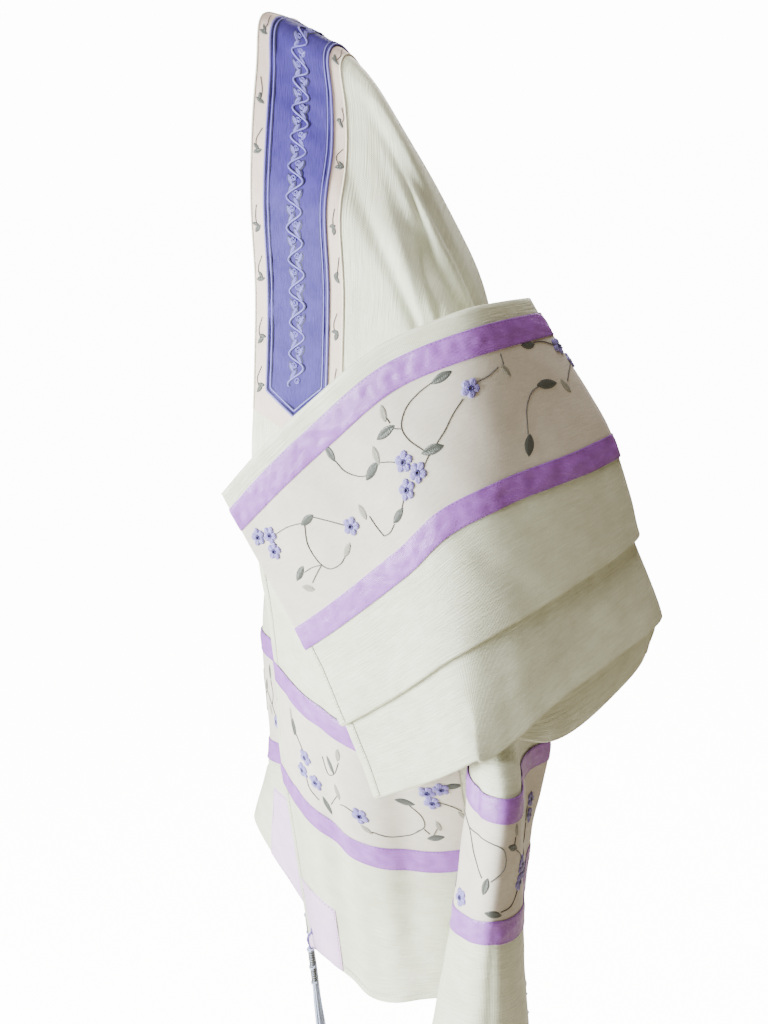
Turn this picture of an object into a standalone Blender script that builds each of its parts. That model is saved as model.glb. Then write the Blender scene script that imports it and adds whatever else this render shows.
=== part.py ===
# Worn prayer shawl of pale silk, with decorated ends, a neckband, corner squares and corner tassels.
# The wearer faces -Y, their left side is +X, and the origin is the middle of the neck at shoulder height.
# The left end is folded up over the bent left arm as a stack of three layers. All sizes are in metres.

import math
from bisect import bisect
from collections import namedtuple

import bmesh
import bpy
from mathutils import Vector
from mathutils.bvhtree import BVHTree

# Cloth and seam sizes
SILK_WALL = 0.0015
TRIM_WALL = 0.0010
SEAM_GAP = 0.0003
BAND_GAP = 0.0008
LOOSE_GAP = 0.0007

# Decoration of each short end, measured from the cloth's edge inward
RIBBON_WIDTH = 0.025
ORGANZA_WIDTH = 0.115
STRIP_WIDTH = 0.017

# Neckband, measured from the neck edge outward and from the nape along the edge
BACKING_WIDTH = 0.100
BAND_MARGIN = 0.015
BAND_HALF_LENGTH = 0.492
BAND_POINT = 0.028
BACKING_HALF_LENGTH = 0.510

# Corner squares and tassels
SQUARE = 0.080
TASSEL_HEAD = (0.007, 0.045)
TASSEL_DROP = 0.200
TASSEL_LAP = 0.012
TASSEL_LEAN = (0.0005, -0.0010, 0)
STRAND_WIDTH = 0.0022
STRAND_STEPS = 3
STRAND_SPREAD = 0.0008

# The right half of the shoulders lies this much farther back than the left, blended over these ranges
FAR_SET_BACK = 0.045
FAR_BLEND_X = (0.0, 0.06)
FAR_BLEND_Y = (-0.02, 0.12)
FAR_BLEND_DROP = (0.30, 0.47)
FAR_LOW_SHARE = 0.08

# Height where the shoulder piece meets the hanging pieces
SPLIT = -0.470
START = SPLIT - 0.0009

SILK = ("silk", (0.76, 0.80, 0.69), 0.42)
RIBBON = ("satin ribbon", (0.62, 0.48, 0.80), 0.30)
ORGANZA = ("organza", (0.72, 0.68, 0.68), 0.60)
TAFFETA = ("taffeta", (0.29, 0.25, 0.56), 0.45)
BACKING = ("neckband backing", (0.76, 0.67, 0.62), 0.60)
SQUARE_CLOTH = ("corner square satin", (0.80, 0.70, 0.84), 0.40)
WOOL = ("tassel cord", (0.66, 0.70, 0.86), 0.80)

# Lines from the neck edge out and down to the split, from the nape forward to the left front edge
Fall = namedtuple("Fall", "edge band shoulder arm lower")
SHOULDER_FALLS = [
    Fall((0, .056, -.003), (0, .112, -.085), (0, .147, -.158), (0, .196, -.270), (0, .210, SPLIT)),
    Fall((.034, .042, .006), (.084, .093, -.064), (.107, .128, -.149), (.088, .185, -.270), (.065, .207, SPLIT)),
    Fall((.060, .012, .019), (.132, .062, -.028), (.162, .100, -.104), (.135, .173, -.255), (.103, .203, SPLIT)),
    Fall((.080, -.010, .017), (.145, .048, -.034), (.184, .092, -.108), (.170, .158, -.270), (.133, .197, SPLIT)),
    Fall((.096, -.022, -.025), (.155, .046, -.070), (.197, .093, -.146), (.198, .150, -.290), (.160, .189, SPLIT)),
    Fall((.106, -.035, -.080), (.166, .041, -.110), (.209, .094, -.190), (.218, .145, -.318), (.185, .177, SPLIT)),
    Fall((.110, -.046, -.150), (.181, .026, -.165), (.225, .085, -.245), (.230, .135, -.350), (.205, .162, SPLIT)),
    Fall((.110, -.052, -.230), (.181, .020, -.238), (.230, .080, -.300), (.235, .120, -.388), (.219, .142, SPLIT)),
    Fall((.108, -.064, -.320), (.178, .008, -.323), (.226, .063, -.358), (.234, .100, -.420), (.227, .121, SPLIT)),
    Fall((.102, -.074, -.390), (.172, -.003, -.390), (.213, .047, -.412), (.229, .078, -.441), (.228, .100, SPLIT)),
    Fall((.093, -.080, SPLIT), (.163, -.010, SPLIT), (.202, .035, SPLIT), (.220, .060, SPLIT), (.225, .080, SPLIT)),
]

# Soft folds of the shoulder piece: station along the edge, start and end as shares of the fall line
Fold = namedtuple("Fold", "station start end half_width depth")
SHOULDER_FOLDS = [
    Fold(.235, .30, .95, .022, .007),
    Fold(.150, .35, .90, .020, .006),
    Fold(.330, .40, .98, .026, .006),
    Fold(.060, .45, 1.0, .022, .008),
    Fold(-.050, .40, 1.0, .024, .007),
    Fold(-.160, .35, .95, .024, .007),
    Fold(-.260, .30, .95, .026, .006),
    Fold(-.350, .40, .98, .026, .006),
]

# Soft folds of the hanging pieces all round: place and half width as shares of the round, start as a
# share down
Drape = namedtuple("Drape", "place start half_width depth")
DRAPES = [
    Drape(.100, .25, .018, .004),
    Drape(.190, .20, .020, .006),
    Drape(.315, .15, .022, .010),
    Drape(.375, .25, .018, .008),
    Drape(.450, .15, .022, .012),
    Drape(.530, .30, .018, .008),
    Drape(.600, .15, .022, .011),
    Drape(.670, .20, .020, .009),
    Drape(.805, .20, .020, .007),
    Drape(.880, .30, .018, .005),
]

# Hanging pieces, each row one level line of the cloth from its front edge round to the back
Front = namedtuple("Front", "edge bend middle side flank")
NEAR_FRONT = {
    "start": Front((.093, -.080, START), (.128, -.048, START), (.163, -.010, START),
                   (.202, .035, START), (.225, .080, START)),
    "upper": Front((.050, -.069, -.629), (.100, -.055, -.648), (.145, -.032, -.665),
                   (.180, .015, -.690), (.195, .080, -.705)),
    "lower": Front((.033, -.073, -.755), (.090, -.062, -.775), (.135, -.030, -.805),
                   (.170, .026, -.821), (.180, .090, -.826)),
    "hem": Front((.003, -.062, -1.004), (.072, -.057, -.981), (.125, -.025, -1.006),
                 (.170, .018, -.998), (.183, .092, -.990)),
}
FAR_FRONT = {
    "start": Front((.093, -.038, START), (.128, -.010, START), (.163, .020, START),
                   (.202, .050, START), (.225, .085, START)),
    "upper": Front((.015, -.045, -.645), (.118, -.052, -.652), (.155, -.018, -.655),
                   (.188, .030, -.658), (.200, .085, -.662)),
    "lower": Front((-.010, -.050, -.755), (.122, -.060, -.790), (.155, -.020, -.790),
                   (.180, .028, -.782), (.188, .090, -.777)),
    "hem": Front((-.025, -.046, -.985), (.118, -.092, -.890), (.160, -.035, -.925),
                 (.182, .025, -.950), (.186, .090, -.963)),
}
Back = namedtuple("Back", "side corner half middle")
BACK = {
    "start": Back((.223, .132, START), (.185, .177, START), (.103, .203, START), (0, .210, START)),
    "upper": Back((.193, .118, -.705), (.152, .152, -.710), (.080, .168, -.715), (0, .176, -.715)),
    "lower": Back((.176, .118, -.830), (.140, .138, -.840), (.075, .152, -.850), (0, .158, -.850)),
    "hem": Back((.164, .118, -.995), (.128, .128, -.998), (.070, .136, -1.000), (0, .140, -1.000)),
}

# Column of cloth that hangs from under the stack, with the back corner of the left end
Column = namedtuple("Column", "lip left front ridge right turn behind bit tail")
COLUMN = {
    "start": Column((.225, .104, -.640), (.240, .086, -.640), (.248, .083, -.640), (.254, .094, -.640),
                    (.250, .110, -.640), (.238, .124, -.640), (.218, .142, -.640), (.186, .168, -.640),
                    (.160, .190, -.640)),
    "upper": Column((.215, .102, -.700), (.248, .076, -.700), (.280, .075, -.711), (.300, .090, -.715),
                    (.291, .110, -.719), (.262, .124, -.717), (.214, .139, -.727), (.165, .168, -.736),
                    (.140, .200, -.743)),
    "lower": Column((.200, .106, -.838), (.242, .050, -.842), (.281, .052, -.842), (.301, .068, -.841),
                    (.291, .091, -.848), (.264, .112, -.852), (.213, .131, -.855), (.166, .154, -.855),
                    (.137, .168, -.860)),
    "hem": Column((.195, .106, -.998), (.232, .012, -.998), (.280, .024, -.998), (.301, .051, -.998),
                  (.292, .085, -1.000), (.266, .107, -1.000), (.223, .118, -1.003), (.200, .121, -1.005),
                  (.177, .125, -1.006)),
}

# Stack over the forearm, from its top edge to the lowest fold
Stack = namedtuple("Stack", "front quarter half near_ridge ridge back wrap")
STACK = {
    "top": Stack((.160, -.117, -.410), (.194, -.084, -.368), (.228, -.040, -.324), (.267, .023, -.273),
                 (.296, .098, -.248), (.266, .165, -.250), (.225, .175, -.262)),
    "middle": Stack((.160, -.060, -.564), (.218, -.018, -.517), (.263, .023, -.469), (.292, .062, -.434),
                    (.297, .127, -.405), (.262, .235, -.390), (.215, .240, -.400)),
    "fold": Stack((.185, -.034, -.657), (.233, .008, -.618), (.284, .046, -.573), (.300, .088, -.550),
                  (.290, .167, -.525), (.260, .262, -.495), (.215, .262, -.500)),
    "second": Stack((.202, -.017, -.736), (.252, .024, -.706), (.297, .062, -.673), (.299, .093, -.671),
                    (.289, .173, -.629), (.262, .288, -.584), (.216, .284, -.583)),
    "third": Stack((.202, -.017, -.740), (.252, .025, -.711), (.297, .062, -.677), (.299, .094, -.676),
                   (.287, .171, -.680), (.258, .279, -.628), (.213, .274, -.620)),
}

# Steps of the grids
STATION_STEP = 0.029
STATION_COUNT = 15
BAND_ROWS = (0.0, BAND_MARGIN, BACKING_WIDTH / 2, BACKING_WIDTH - BAND_MARGIN, BACKING_WIDTH)
BELOW_BAND = (.09, .19, .30, .42, .54, .66, .78, .89, 1.0)
RING_STEPS = 48
RING_ROWS = (4, 1, 3, 1, 4)
COLUMN_STEPS = 22
COLUMN_ROWS = (2, 1, 3, 1, 4)
STACK_STEPS = 14
LINE_STEPS = 64
EDGE_STEPS = 200
LEVEL_STEPS = 16

# Share of a piece over which a fold fades in or out, and of the neckband's width left at its points
FOLD_FADE = 0.25
POINT_WIDTH = 0.06

# The stack's layers
STACK_LAYER_DEPTH = 0.0081
STACK_FOLD_RADIUS = 0.0035
STACK_RETURN = 0.025
SHELF_DROP = 0.030
SHELF_ARCH = 0.010
SHELF_SHARES = (1.0, 0.66, 0.33)
MIDDLE_TUCK = 0.030
INNER_TUCK = 0.060
HIDDEN_RISE = 0.025
HIDDEN_SHARES = (0.45, 0.70)


def finish_of(look):
    """Principled material from a (name, colour, roughness) row."""
    name, colour, roughness = look
    material = bpy.data.materials.get(name)
    if material is None:
        material = bpy.data.materials.new(name)
        material.use_nodes = True
        shader = material.node_tree.nodes["Principled BSDF"]
        shader.inputs["Base Color"].default_value = (*colour, 1.0)
        shader.inputs["Roughness"].default_value = roughness
    return material


def smooth_through(points, share):
    """Point on a Catmull-Rom curve through the points, for a share from 0 to 1."""
    knots = [Vector(point) for point in points]
    place = min(max(share, 0.0), 1.0) * (len(knots) - 1)
    first = min(int(place), len(knots) - 2)
    t = place - first
    b, c = knots[first], knots[first + 1]
    a = knots[first - 1] if first > 0 else b * 2 - c
    d = knots[first + 2] if first + 2 < len(knots) else c * 2 - b
    return (b * 2 + (c - a) * t + (a * 2 - b * 5 + c * 4 - d) * t ** 2
            + (b * 3 - a - c * 3 + d) * t ** 3) * 0.5


def smooth_step(value, low, high):
    t = min(max((value - low) / (high - low), 0.0), 1.0)
    return t * t * (3 - 2 * t)


class Line:
    """Smooth line through key points, read by its length."""

    def __init__(self, points, steps=LINE_STEPS):
        self.points = [smooth_through(points, step / steps) for step in range(steps + 1)]
        self.lengths = [0.0]
        for start, end in zip(self.points, self.points[1:]):
            self.lengths.append(self.lengths[-1] + (end - start).length)
        self.total = self.lengths[-1]

    def at(self, distance):
        distance = min(max(distance, 0.0), self.total)
        upper = min(max(bisect(self.lengths, distance), 1), len(self.points) - 1)
        span = self.lengths[upper] - self.lengths[upper - 1]
        share = (distance - self.lengths[upper - 1]) / span if span else 0.0
        return self.points[upper - 1].lerp(self.points[upper], share)


def grid_normals(grid):
    """Outward normal of each point of a grid whose rows run down and columns from left to right."""
    last_row, last_column = len(grid) - 1, len(grid[0]) - 1
    normals = []
    for r, row in enumerate(grid):
        normals.append([])
        for c in range(len(row)):
            down = grid[min(r + 1, last_row)][c] - grid[max(r - 1, 0)][c]
            across = grid[r][min(c + 1, last_column)] - grid[r][max(c - 1, 0)]
            normals[-1].append(down.cross(across).normalized())
    return normals


def lifted(grid, rise):
    """The grid moved out along its normals."""
    normals = grid_normals(grid)
    return [[point + normal * rise for point, normal in zip(row, normal_row)]
            for row, normal_row in zip(grid, normals)]


def rows_of(grid, first, last, gap=SEAM_GAP):
    """The rows first to last, with both ends drawn in by half a gap."""
    chosen = grid[first:last + 1]
    rows = [list(row) for row in chosen]
    for end, inner in ((0, 1), (-1, -2)):
        rows[end] = [point + (other - point).normalized() * gap / 2
                     for point, other in zip(chosen[end], chosen[inner])]
    return rows


def drawn_in(grid):
    """The grid drawn in by half a gap on all four sides, a wider one where two walls lean together."""
    rows = rows_of(grid, 0, len(grid) - 1)
    columns = rows_of([list(column) for column in zip(*rows)], 0, len(grid[0]) - 1, LOOSE_GAP)
    return [list(row) for row in zip(*columns)]


def cloth(name, grid, wall, look, outward=False):
    """Named wall of cloth on a grid of points: inside them, or outside for what lies on a panel."""
    builder = bmesh.new()
    verts = [[builder.verts.new(point) for point in row] for row in grid]
    for upper, lower in zip(verts, verts[1:]):
        for c in range(len(upper) - 1):
            builder.faces.new((upper[c], lower[c], lower[c + 1], upper[c + 1]))
    mesh = bpy.data.meshes.new(name)
    builder.to_mesh(mesh)
    builder.free()
    mesh.shade_smooth()
    piece = bpy.data.objects.new(name, mesh)
    piece.data.materials.append(finish_of(look))
    COLLECTION.objects.link(piece)
    solidify = piece.modifiers.new("wall", "SOLIDIFY")
    solidify.thickness = wall
    solidify.offset = 1.0 if outward else -1.0
    return piece


def tree_of(grid):
    """Search tree over a grid's facets."""
    width = len(grid[0])
    points = [point for row in grid for point in row]
    faces = [(r * width + c, (r + 1) * width + c, (r + 1) * width + c + 1, r * width + c + 1)
             for r in range(len(grid) - 1) for c in range(width - 1)]
    return BVHTree.FromPolygons(points, faces)


def mirrored_far(point):
    """A left-half point carried to the right half, set back where it is in front."""
    x, y, z = point
    front = 1 - smooth_step(y, *FAR_BLEND_Y)
    low = 1 - smooth_step(-z, *FAR_BLEND_DROP) * FAR_LOW_SHARE
    return Vector((-x, y + FAR_SET_BACK * smooth_step(x, *FAR_BLEND_X) * front * low, z))


def shoulder_line(place, far):
    """Fall line at a place from 0 (nape) to 1 (front edge at the split)."""
    keys = [smooth_through([getattr(fall, name) for fall in SHOULDER_FALLS], place)
            for name in Fall._fields]
    if far:
        keys = [mirrored_far(key) for key in keys]
    return Line(keys)


EDGE = Line([fall.edge for fall in SHOULDER_FALLS], EDGE_STEPS)


def edge_stations():
    """Distances along the neck edge from the nape, left half first, with the neckband's ends."""
    half = [STATION_STEP * step for step in range(1, STATION_COUNT + 1)]
    half += [BAND_HALF_LENGTH - BAND_POINT, BAND_HALF_LENGTH - BAND_POINT / 2, BAND_HALF_LENGTH,
             BACKING_HALF_LENGTH, EDGE.total]
    return half[::-1] + [0.0] + [-station for station in half]


def shoulder_grid():
    """Points of the shoulder piece, one column for each station, one row for each distance out."""
    columns = []
    for station in edge_stations():
        distance = abs(station)
        upper = max(1, min(bisect(EDGE.lengths, distance), EDGE_STEPS))
        span = EDGE.lengths[upper] - EDGE.lengths[upper - 1]
        place = (upper - 1 + (distance - EDGE.lengths[upper - 1]) / span) / EDGE_STEPS
        line = shoulder_line(place, station < 0)
        rest = line.total - BACKING_WIDTH
        outs = list(BAND_ROWS) + [BACKING_WIDTH + rest * share for share in BELOW_BAND]
        columns.append([line.at(out) for out in outs])
    grid = [list(row) for row in zip(*columns)]
    normals = grid_normals(grid)
    for c, station in enumerate(edge_stations()):
        for r, share in enumerate(BELOW_BAND):
            depth = 0.0
            for fold in SHOULDER_FOLDS:
                near = math.exp(-((station - fold.station) / fold.half_width) ** 2)
                begins = smooth_step(share, fold.start - FOLD_FADE, fold.start)
                ends = 1 - smooth_step(share, fold.end - FOLD_FADE, fold.end)
                depth += fold.depth * near * begins * ends
            row = r + len(BAND_ROWS)
            grid[row][c] = grid[row][c] - normals[row][c] * depth
    return grid


def pointed_strip(grid, low, high, half_length, rise):
    """Strip on the first rows of the shoulder grid, from low to high, with a point at each end."""
    stations = edge_stations()
    normals = grid_normals(grid)
    shares = [(out - low) / (high - low) for out in BAND_ROWS if low <= out <= high]
    columns = []
    for c, station in enumerate(stations):
        reach = half_length - abs(station)
        if reach < -1e-6:
            continue
        width = POINT_WIDTH + (1 - POINT_WIDTH) * min(reach / BAND_POINT, 1.0)
        middle = (low + high) / 2
        column = []
        for share in shares:
            out = middle + (share - 0.5) * (high - low) * width
            row = max(1, min(bisect(BAND_ROWS, out), len(BAND_ROWS) - 1))
            part = (out - BAND_ROWS[row - 1]) / (BAND_ROWS[row] - BAND_ROWS[row - 1])
            point = grid[row - 1][c].lerp(grid[row][c], part)
            normal = normals[row - 1][c].lerp(normals[row][c], part).normalized()
            column.append(point + normal * rise)
        columns.append(column)
    return [list(row) for row in zip(*columns)]


def hanging_grid(levels, counts, across):
    """Grid between level lines: counts rows in each span, with ribbon edges at the named levels."""
    names = list(levels)
    lines = {name: [Vector(point) for point in levels[name]] for name in names}
    key_count = len(lines[names[0]])
    drops = [Line([lines[name][key] for name in names]) for key in range(key_count)]
    stops = []
    marks = []
    for key, drop in enumerate(drops):
        upper = (lines[names[1]][key] - lines[names[0]][key]).length
        lower = upper + (lines[names[2]][key] - lines[names[1]][key]).length
        stops.append([0.0, upper, upper + RIBBON_WIDTH, lower, lower + RIBBON_WIDTH, drop.total])
    rows = []
    for span, count in enumerate(counts):
        for step in range(count + (span == len(counts) - 1)):
            share = step / count
            keys = [drop.at(stop[span] + (stop[span + 1] - stop[span]) * share)
                    for drop, stop in zip(drops, stops)]
            rows.append([smooth_through(keys, c / across) for c in range(across + 1)])
        marks.append(sum(counts[:span + 1]))
    return rows, marks


def draped(grid):
    """The grid of the hanging pieces all round with its soft folds pressed in."""
    normals = grid_normals(grid)
    last_row, last_column = len(grid) - 1, len(grid[0]) - 1
    rows = []
    for r, row in enumerate(grid):
        rows.append([])
        for c, point in enumerate(row):
            depth = 0.0
            for drape in DRAPES:
                near = math.exp(-((c / last_column - drape.place) / drape.half_width) ** 2)
                begins = smooth_step(r / last_row, drape.start - FOLD_FADE / 2, drape.start + FOLD_FADE)
                depth += drape.depth * near * begins
            rows[-1].append(point - normals[r][c] * depth)
    rows[0] = list(grid[0])
    return rows


def ring_level(name):
    """Level line all round, from the left front edge over the back to the right front edge."""
    back = BACK[name]
    right = (back.half, back.corner, back.side) + tuple(reversed(FAR_FRONT[name]))
    return list(NEAR_FRONT[name]) + list(back) + [(-x, y, z) for x, y, z in right]


def columns_of(grid, first, last):
    """The columns first to last, drawn in by half a seam gap on all four sides."""
    return drawn_in([row[first:last + 1] for row in grid])


def decorate(prefix, grid, marks):
    """Upper ribbon, organza and lower ribbon lying on a hanging panel."""
    raised = lifted(grid, SEAM_GAP)
    cloth(prefix + "_ribbon_upper", rows_of(raised, marks[0], marks[1]), TRIM_WALL, RIBBON, outward=True)
    cloth(prefix + "_organza", rows_of(raised, marks[1], marks[2]), TRIM_WALL, ORGANZA, outward=True)
    cloth(prefix + "_ribbon_lower", rows_of(raised, marks[2], marks[3]), TRIM_WALL, RIBBON, outward=True)


def steps_to(points, reach):
    """How many steps along a row of points it takes to pass a length."""
    length, steps = 0.0, 0
    for start, end in zip(points, points[1:]):
        length += (end - start).length
        steps += 1
        if length > reach:
            break
    return steps


def corner_square(name, grid, at_start):
    """Satin square on the lowest corner of a panel, over as many rows and columns as it covers."""
    raised = [row if at_start else row[::-1] for row in lifted(grid, SEAM_GAP)]
    side = [row[0] for row in raised[::-1]]
    foot = raised[-1]
    rows = 1 + steps_to(side, SQUARE)
    columns = 1 + steps_to(foot, SQUARE)
    patch = [row[:columns] for row in raised[-rows:]]
    if not at_start:
        patch = [row[::-1] for row in patch]
    cloth(name, patch, TRIM_WALL, SQUARE_CLOTH, outward=True)


def tassel(name, top, lean):
    """Wound head with eight strands that stand apart below it, leaning by the given offset."""
    width, height = TASSEL_HEAD
    builder = bmesh.new()
    grid = bmesh.ops.create_grid(builder, x_segments=3, y_segments=3, size=width / 2)
    bottom = list(builder.faces)
    raised = bmesh.ops.extrude_face_region(builder, geom=bottom, use_keep_orig=True)
    upper = [item for item in raised["geom"] if isinstance(item, bmesh.types.BMVert)]
    bmesh.ops.translate(builder, verts=upper, vec=(0, 0, height))
    bmesh.ops.recalc_face_normals(builder, faces=builder.faces)
    strands = [face for face in builder.faces if face.calc_center_median().length > 0.0005
               and abs(face.calc_center_median().z) < 1e-6]
    bmesh.ops.inset_individual(builder, faces=strands, thickness=(width / 3 - STRAND_WIDTH * 0.75) / 2)
    for step in range(STRAND_STEPS):
        result = bmesh.ops.extrude_discrete_faces(builder, faces=strands)
        strands = result["faces"]
        for index, face in enumerate(strands):
            centre = face.calc_center_median()
            out = Vector((centre.x, centre.y, 0)).normalized() * STRAND_SPREAD
            drop = TASSEL_DROP / STRAND_STEPS * (1 - 0.05 * (index % 3))
            sway = Vector(lean) * (step + 1)
            bmesh.ops.translate(builder, verts=list(face.verts), vec=out + sway + Vector((0, 0, -drop)))
    mesh = bpy.data.meshes.new(name)
    builder.to_mesh(mesh)
    builder.free()
    piece = bpy.data.objects.new(name, mesh)
    piece.location = top - Vector((0, 0, height))
    piece.data.materials.append(finish_of(WOOL))
    COLLECTION.objects.link(piece)
    return piece


def stack_lines():
    """Lines down the stack, front edge to the part that wraps behind, and where each level crosses."""
    across = STACK_STEPS
    names = list(STACK)
    keys = {name: [smooth_through(STACK[name], c / across) for c in range(across + 1)] for name in names}
    steps = LEVEL_STEPS * (len(names) - 1)
    lines = [Line([keys[name][c] for name in names], steps) for c in range(across + 1)]
    crossings = {name: [line.lengths[LEVEL_STEPS * level] for line in lines]
                 for level, name in enumerate(names)}
    return lines, crossings


def stack_layer(name, lines, stops, depth, shelf=None):
    """One folded layer: down its front by the stops, round the fold and a little way up behind."""
    columns = [[line.at(stop[c]) for stop in stops] for c, line in enumerate(lines)]
    layer = lifted([list(row) for row in zip(*columns)], -depth)
    normals = grid_normals(layer)
    radius = STACK_FOLD_RADIUS
    curl = []
    for angle in (math.pi / 4, math.pi / 2, math.pi * 3 / 4, math.pi):
        curl.append([])
        for foot, above, normal in zip(layer[-1], layer[-2], normals[-1]):
            down = (foot - above).normalized()
            curl[-1].append(foot - normal * radius * (1 - math.cos(angle)) + down * radius * math.sin(angle))
    back = [[foot - normal * 2 * radius + (above - foot).normalized() * STACK_RETURN * share
             for foot, above, normal in zip(layer[-1], layer[-2], normals[-1])] for share in (0.5, 1.0)]
    head = []
    if shelf:
        for share in SHELF_SHARES:
            rise = Vector((0, 0, SHELF_ARCH * math.sin(math.pi * share)))
            head.append([top.lerp(rest, share) + rise for top, rest in zip(layer[0], shelf)])
    cloth(name, head + layer + curl + back, SILK_WALL, SILK)
    return layer


def spread(start, end, count):
    """Rows of distances from one row of distances to another, the first left out."""
    return [[a + (b - a) * step / count for a, b in zip(start, end)] for step in range(1, count + 1)]


def build_stack(shoulders):
    """Three folded layers over the forearm, the outer one decorated, resting on the shoulder piece."""
    lines, crossings = stack_lines()
    tree = tree_of(shoulders)
    shelf = []
    for line in lines:
        spot, normal, _, _ = tree.find_nearest(line.at(0) - Vector((0, 0, SHELF_DROP)))
        shelf.append(spot + normal * (LOOSE_GAP + SILK_WALL * 0.4))
    trim = [0.0, STRIP_WIDTH, STRIP_WIDTH + RIBBON_WIDTH]
    trim += [trim[-1] + ORGANZA_WIDTH * step / 3 for step in (1, 2, 3)]
    trim += [trim[-1] + RIBBON_WIDTH]
    stops = [[mark] * len(lines) for mark in trim]
    outer = stack_layer("stack_layer_outer", lines, stops + spread(stops[-1], crossings["fold"], 3), 0.0, shelf)
    raised = lifted(outer, SEAM_GAP)
    cloth("stack_ribbon_top", rows_of(raised, 1, 2), TRIM_WALL, RIBBON, outward=True)
    cloth("stack_organza", rows_of(raised, 2, 5), TRIM_WALL, ORGANZA, outward=True)
    cloth("stack_ribbon_bottom", rows_of(raised, 5, 6), TRIM_WALL, RIBBON, outward=True)

    hidden = [distance - MIDDLE_TUCK for distance in crossings["fold"]]
    second = [hidden] + spread(hidden, crossings["second"], 5)
    stack_layer("stack_layer_middle", lines, second, STACK_LAYER_DEPTH)
    hidden = [distance - INNER_TUCK for distance in crossings["second"]]
    ends = [distance - HIDDEN_RISE * (1 - smooth_step(c / len(lines), *HIDDEN_SHARES))
            for c, distance in enumerate(crossings["third"])]
    third = [hidden] + spread(hidden, ends, 3)
    stack_layer("stack_layer_inner", lines, third, 2 * STACK_LAYER_DEPTH)


def tassel_at(name, grid, column):
    """Tassel tied against the outer face of a panel's lower edge at a column."""
    foot, above = grid[-1][column], grid[-2][column]
    normal = grid_normals(grid)[-1][column]
    normal.z = 0.0
    normal.normalize()
    tied = foot.lerp(above, TASSEL_LAP / (above - foot).length)
    out = max(foot.dot(normal), tied.dot(normal)) - foot.dot(normal)
    out += SEAM_GAP + TRIM_WALL + LOOSE_GAP + TASSEL_HEAD[0] / 2
    piece = tassel(name, foot + normal * out + Vector((0, 0, tied.z - foot.z)), TASSEL_LEAN)
    piece.rotation_euler.z = math.atan2(normal.y, normal.x)


def build():
    shoulders = shoulder_grid()
    cloth("silk_shoulders", shoulders, SILK_WALL, SILK)
    cloth("neckband_backing", pointed_strip(shoulders, 0.0, BACKING_WIDTH, BACKING_HALF_LENGTH, SEAM_GAP),
          TRIM_WALL, BACKING, outward=True)
    cloth("neckband", pointed_strip(shoulders, BAND_MARGIN, BACKING_WIDTH - BAND_MARGIN,
                                    BAND_HALF_LENGTH, SEAM_GAP + TRIM_WALL + BAND_GAP),
          TRIM_WALL, TAFFETA, outward=True)

    ring, marks = hanging_grid({name: ring_level(name) for name in BACK}, RING_ROWS, RING_STEPS)
    ring = draped(ring)
    near_end, far_start = (RING_STEPS // 4, RING_STEPS * 3 // 4)
    near = columns_of(ring, 0, near_end)
    cloth("near_front_fall", near, SILK_WALL, SILK)
    decorate("near_front", near, marks)
    far = columns_of(ring, far_start, RING_STEPS)
    cloth("far_front_fall", far, SILK_WALL, SILK)
    decorate("far_front", far, marks)
    cloth("back_fall", columns_of(ring, near_end, far_start), SILK_WALL, SILK)
    column, column_marks = hanging_grid(COLUMN, COLUMN_ROWS, COLUMN_STEPS)
    ring_tree = tree_of(ring)
    for row in column:
        spot, normal, _, _ = ring_tree.find_nearest(row[0])
        row[0] = spot + normal * LOOSE_GAP
    cloth("near_back_fall", column, SILK_WALL, SILK)
    decorate("near_back", [row[1:] for row in column], column_marks)

    corners = (("near_front", near, True), ("near_back", column, False),
               ("far_front", far, False), ("far_back", far, True))
    for name, grid, at_start in corners:
        corner_square(name + "_square", grid, at_start)
        tassel_at(name + "_tassel", grid, 1 if at_start else len(grid[0]) - 2)
    build_stack(shoulders)


COLLECTION = bpy.data.collections.new("prayer_shawl")


def main():
    for item in list(bpy.data.objects):
        bpy.data.objects.remove(item)
    bpy.context.scene.collection.children.link(COLLECTION)
    build()


main()
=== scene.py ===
# Looks of a draped silk prayer shawl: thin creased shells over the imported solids, with ribbons, embroidered
# organza, neckband, corner squares and tassels. All sizes are in metres, in the solids' own frame.

import math
import random
from collections import namedtuple

import bmesh
import bpy
import numpy as np
from mathutils import Matrix, Vector


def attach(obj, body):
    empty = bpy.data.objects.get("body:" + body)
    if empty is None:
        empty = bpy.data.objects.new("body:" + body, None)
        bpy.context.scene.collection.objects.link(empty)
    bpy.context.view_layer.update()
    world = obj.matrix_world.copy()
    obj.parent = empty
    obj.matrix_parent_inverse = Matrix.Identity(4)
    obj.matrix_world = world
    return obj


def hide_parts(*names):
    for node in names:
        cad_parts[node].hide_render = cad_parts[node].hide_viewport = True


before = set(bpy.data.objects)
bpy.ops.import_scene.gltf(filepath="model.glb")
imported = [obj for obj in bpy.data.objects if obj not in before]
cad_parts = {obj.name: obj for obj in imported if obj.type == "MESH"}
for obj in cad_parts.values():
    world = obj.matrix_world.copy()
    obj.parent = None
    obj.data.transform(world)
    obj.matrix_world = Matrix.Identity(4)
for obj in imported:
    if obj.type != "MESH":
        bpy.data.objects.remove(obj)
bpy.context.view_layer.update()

# Camera of the photograph
CAMERA_PLACE = Vector((1.5595, -0.3097, -0.0422))
CAMERA_FORWARD = Vector((-0.9327, 0.2326, -0.2756))
CAMERA_UP = Vector((-0.2407, 0.1677, 0.9560))
CAMERA_SENSOR = 36.0
CAMERA_LENS = 53.8

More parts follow.
